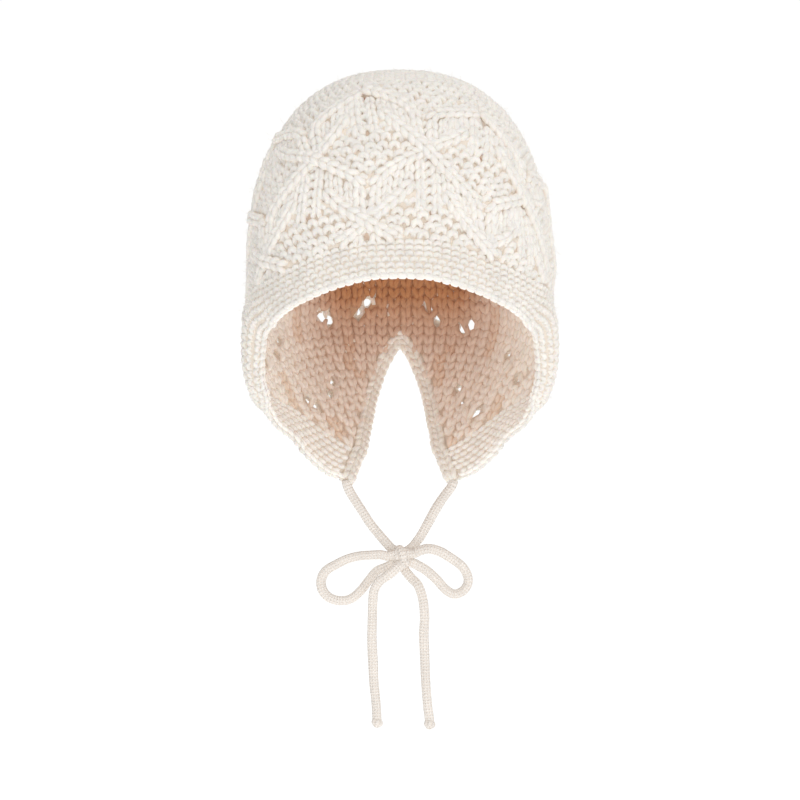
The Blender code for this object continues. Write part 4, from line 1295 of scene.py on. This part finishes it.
def room():
    """Even white light from all round, weaker from the sides."""
    world = bpy.data.worlds.new("studio")
    world.use_nodes = True
    nodes = world.node_tree.nodes
    links = world.node_tree.links
    background = nodes["Background"]
    background.inputs["Color"].default_value = (1.0, 0.995, 0.985, 1.0)
    way = nodes.new("ShaderNodeSeparateXYZ")
    links.new(nodes.new("ShaderNodeTexCoord").outputs["Generated"], way.inputs["Vector"])
    share = nodes.new("ShaderNodeMapRange")
    share.inputs["From Min"].default_value = -1.0
    links.new(way.outputs["X"], share.inputs["Value"])
    stops = [(place, (strength,) * 3) for place, strength in ROOM_LIGHT]
    links.new(shades(nodes, links, share.outputs["Result"], stops), background.inputs["Strength"])
    bpy.context.scene.world = world
    bpy.context.scene.view_settings.view_transform = "Standard"
    bpy.context.scene.view_settings.look = "None"


def floor():
    """A pale floor well below the bonnet, which a head holds up."""
    corners = ((-1, -1), (1, -1), (1, 1), (-1, 1))
    points = np.array([(x * FLOOR_HALF, y * FLOOR_HALF, FLOOR_HEIGHT) for x, y in corners])
    mesh = new_mesh("floor", points, [np.array(((0, 1, 2, 3),))], smooth_faces=False)
    ground = bpy.data.objects.new("floor", mesh)
    bpy.context.scene.collection.objects.link(ground)
    material = bpy.data.materials.new("floor")
    material.use_nodes = True
    shader = material.node_tree.nodes["Principled BSDF"]
    shader.inputs["Base Color"].default_value = (0.9, 0.9, 0.9, 1.0)
    shader.inputs["Roughness"].default_value = 0.8
    shader.inputs["Emission Color"].default_value = (1.0, 1.0, 1.0, 1.0)
    shader.inputs["Emission Strength"].default_value = 0.4
    ground.data.materials.append(material)


def studio():
    """A white room with a soft key from above on the right, a front light and a pale floor."""
    room()
    for name, place, size, energy in LAMPS:
        light = bpy.data.lights.new(name, "AREA")
        light.size = size
        light.energy = energy
        lamp = bpy.data.objects.new(name, light)
        bpy.context.scene.collection.objects.link(lamp)
        lamp.location = place
        lamp.rotation_euler = (Vector((0, 0, -0.1)) - lamp.location).to_track_quat("-Z", "Y").to_euler()
    floor()


def ties():
    """Both chin ties with the bow between them and a knot at each end."""
    material = yarn(
        "knitted_cord", (0.935, 0.89, 0.84), (0.84, 0.71, 0.60), v_marks=True, subsurface=0.0, painted_glow=0.06
    )
    laid = []
    for side, tie, loop, tail, knot, waves in (
        ("left", TIE_LEFT, LOOP_LEFT, TAIL_LEFT, KNOT_LEFT, (14.0, 0.4)),
        ("right", TIE_RIGHT, LOOP_RIGHT, TAIL_RIGHT, KNOT_RIGHT, (13.0, 2.0)),
    ):
        before, after = ([tuple(BOW_KNOT_PLACE + step) for step in steps] for steps in knot)
        points = (*tie, *before, *loop, *after, *tail)
        nodes = ("tie_" + side, "bow_loop_" + side, "tail_" + side)
        laid.append(flat_cord("tie_cord_" + side, points, material, waves, nodes))
    bow = lump("bow_wrap", BOW_KNOT_SIZE, BOW_KNOT_PLACE, material, ("bow_knot",), BOW_STRANDS)
    for side, place, spin, (cord, path, length) in (
        ("left", END_KNOT_LEFT_PLACE, 0.3, laid[0]),
        ("right", END_KNOT_RIGHT_PLACE, 1.1, laid[1]),
    ):
        strands = ((0.35, spin, 1.0, 0.0014), (1.2, spin + 1.2, 0.8, 0.0014), (2.2, spin + 2.2, 0.5, 0.0015))
        end = lump("end_knot_wrap_" + side, END_KNOT_SIZE, place, material, ("end_knot_" + side,), strands)


def crown(outside, wall):
    """The crown: its wall, the cable strands, the plain columns and the purl bumps."""
    new_piece("crown_wall", base_shell(), wall, ("crown",))
    centres = []
    for name, chains, width, thick in (
        ("crown_ribs", rib_chains(), 1.05, 1.07),
        ("crown_columns", fan_chains(), 0.95, 1.0),
    ):
        *f, stretch, angle, run = chains
        spots = lookup(POINTS, angle, run)
        keep = clear_of_eyelets(spots)
        f = [values[keep] for values in f]
        radius = np.array(LEG_RADIUS) * thick
        shapes = [np.array(template) * (width, 1, 1) for template in (LEG, mirrored(LEG))]
        scale = stretch[keep]
        sets = [stitches(*f, shape, radius, scale=scale, reach=YARN_ROUND_EYELET) for shape in shapes]
        new_piece(name, joined(name, sets), outside)
        centres.append(spots)

    found = above_edge(np.array(diamond_purls() + top_purls()), -0.0008, NAPE_MARGIN)
    found = found[clear_of_eyelets(lookup(POINTS, found[:, 0], found[:, 1]))]
    centres.append(lookup(POINTS, found[:, 0], found[:, 1]))
    more = filling_places(np.concatenate(centres))
    more = np.concatenate([more, EYELETS[EYELET_POINTS[:, 1] < -BACK_START]])
    sets = []
    for spots, height in ((found, PURL_LIFT), (more, FILLING_LIFT)):
        f = frames(spots[:, 0], spots[:, 1], np.full(len(spots), height))
        sets.append(stitches(*f, PURL, PURL_RADIUS, reach=YARN_ROUND_EYELET))
    new_piece("crown_purl", joined("crown_purl", sets), outside)


def crown_inside():
    """The plain stitches on the inside, deeper along the furrows and the seam, with more painted shade
    there.
    """
    # The lining's third colour is painted shade, darker and oranger towards the middle of the back.
    lining = yarn(
        "lining_yarn", (0.915, 0.865, 0.80), (0.78, 0.585, 0.43), painted_warm_shade=(0.54, 0.27, 0.135), painted_glow=0.20
    )
    found = lining_places()
    found = found[clear_of_eyelets(lookup(POINTS, found[:, 0], found[:, 1]))]
    sunk = furrows(found[:, 0], found[:, 1])
    height = np.where(sunk, -LINING_SUNK, -LINING_DEPTH)
    place, side, up, out = frames(found[:, 0], found[:, 1], height, outside=False)
    scale = np.clip(found[:, 2] / LINING_WIDTH, 0.8, 1.15)
    sets = []
    for template in (LEG, mirrored(LEG)):
        shape = np.array(template) * (1.05, 0.95, 0.8)
        # dim paints more shade on the stitches in the furrows and the seam.
        sets.append(
            stitches(
                place, -side, up, -out, shape, LEG_RADIUS, sides=5, scale=scale,
                reach=LINING_ROUND_EYELET, dim=0.6 * sunk, jitter=0.11,
            )
        )
    new_piece("crown_lining", add_painted_warm_shade(joined("crown_lining", sets)), lining)


def main():
    camera()
    ties()
    # Each yarn's second colour is the painted shade of its crevices.
    outside = yarn("cream_yarn", (0.895, 0.86, 0.815), (0.92, 0.815, 0.71), painted_glow=0.085)
    # The yarns of the inner faces glow brighter: more painted light there than outside.
    inner = yarn("inner_yarn", (0.905, 0.865, 0.815), (0.90, 0.80, 0.70), painted_glow=0.18)
    edge = yarn("edge_yarn", (0.90, 0.85, 0.785), (0.88, 0.74, 0.61), painted_glow=0.11)
    # The wall's second colour is painted shade, darker and oranger inside.
    wall = felt("wall_yarn", (0.88, 0.79, 0.69), (0.66, 0.40, 0.25))
    crown(outside, wall)
    crown_inside()
    for name, node, pieces, inside in (
        ("band", "face_band", band_pieces(), inner),
        ("edging", "neck_edging", edging_pieces(), edge),
    ):
        base, outer_face, inner_face = pieces
        new_piece(name + "_base", base, wall, (node,))
        new_piece(name + "_outside", outer_face, outside)
        new_piece(name + "_inside", inner_face, inside)
    fibres = fuzz(("crown_ribs", "crown_columns", "crown_purl", "band_outside"))
    new_piece("fuzz", fibres, outside)
    studio()


main()
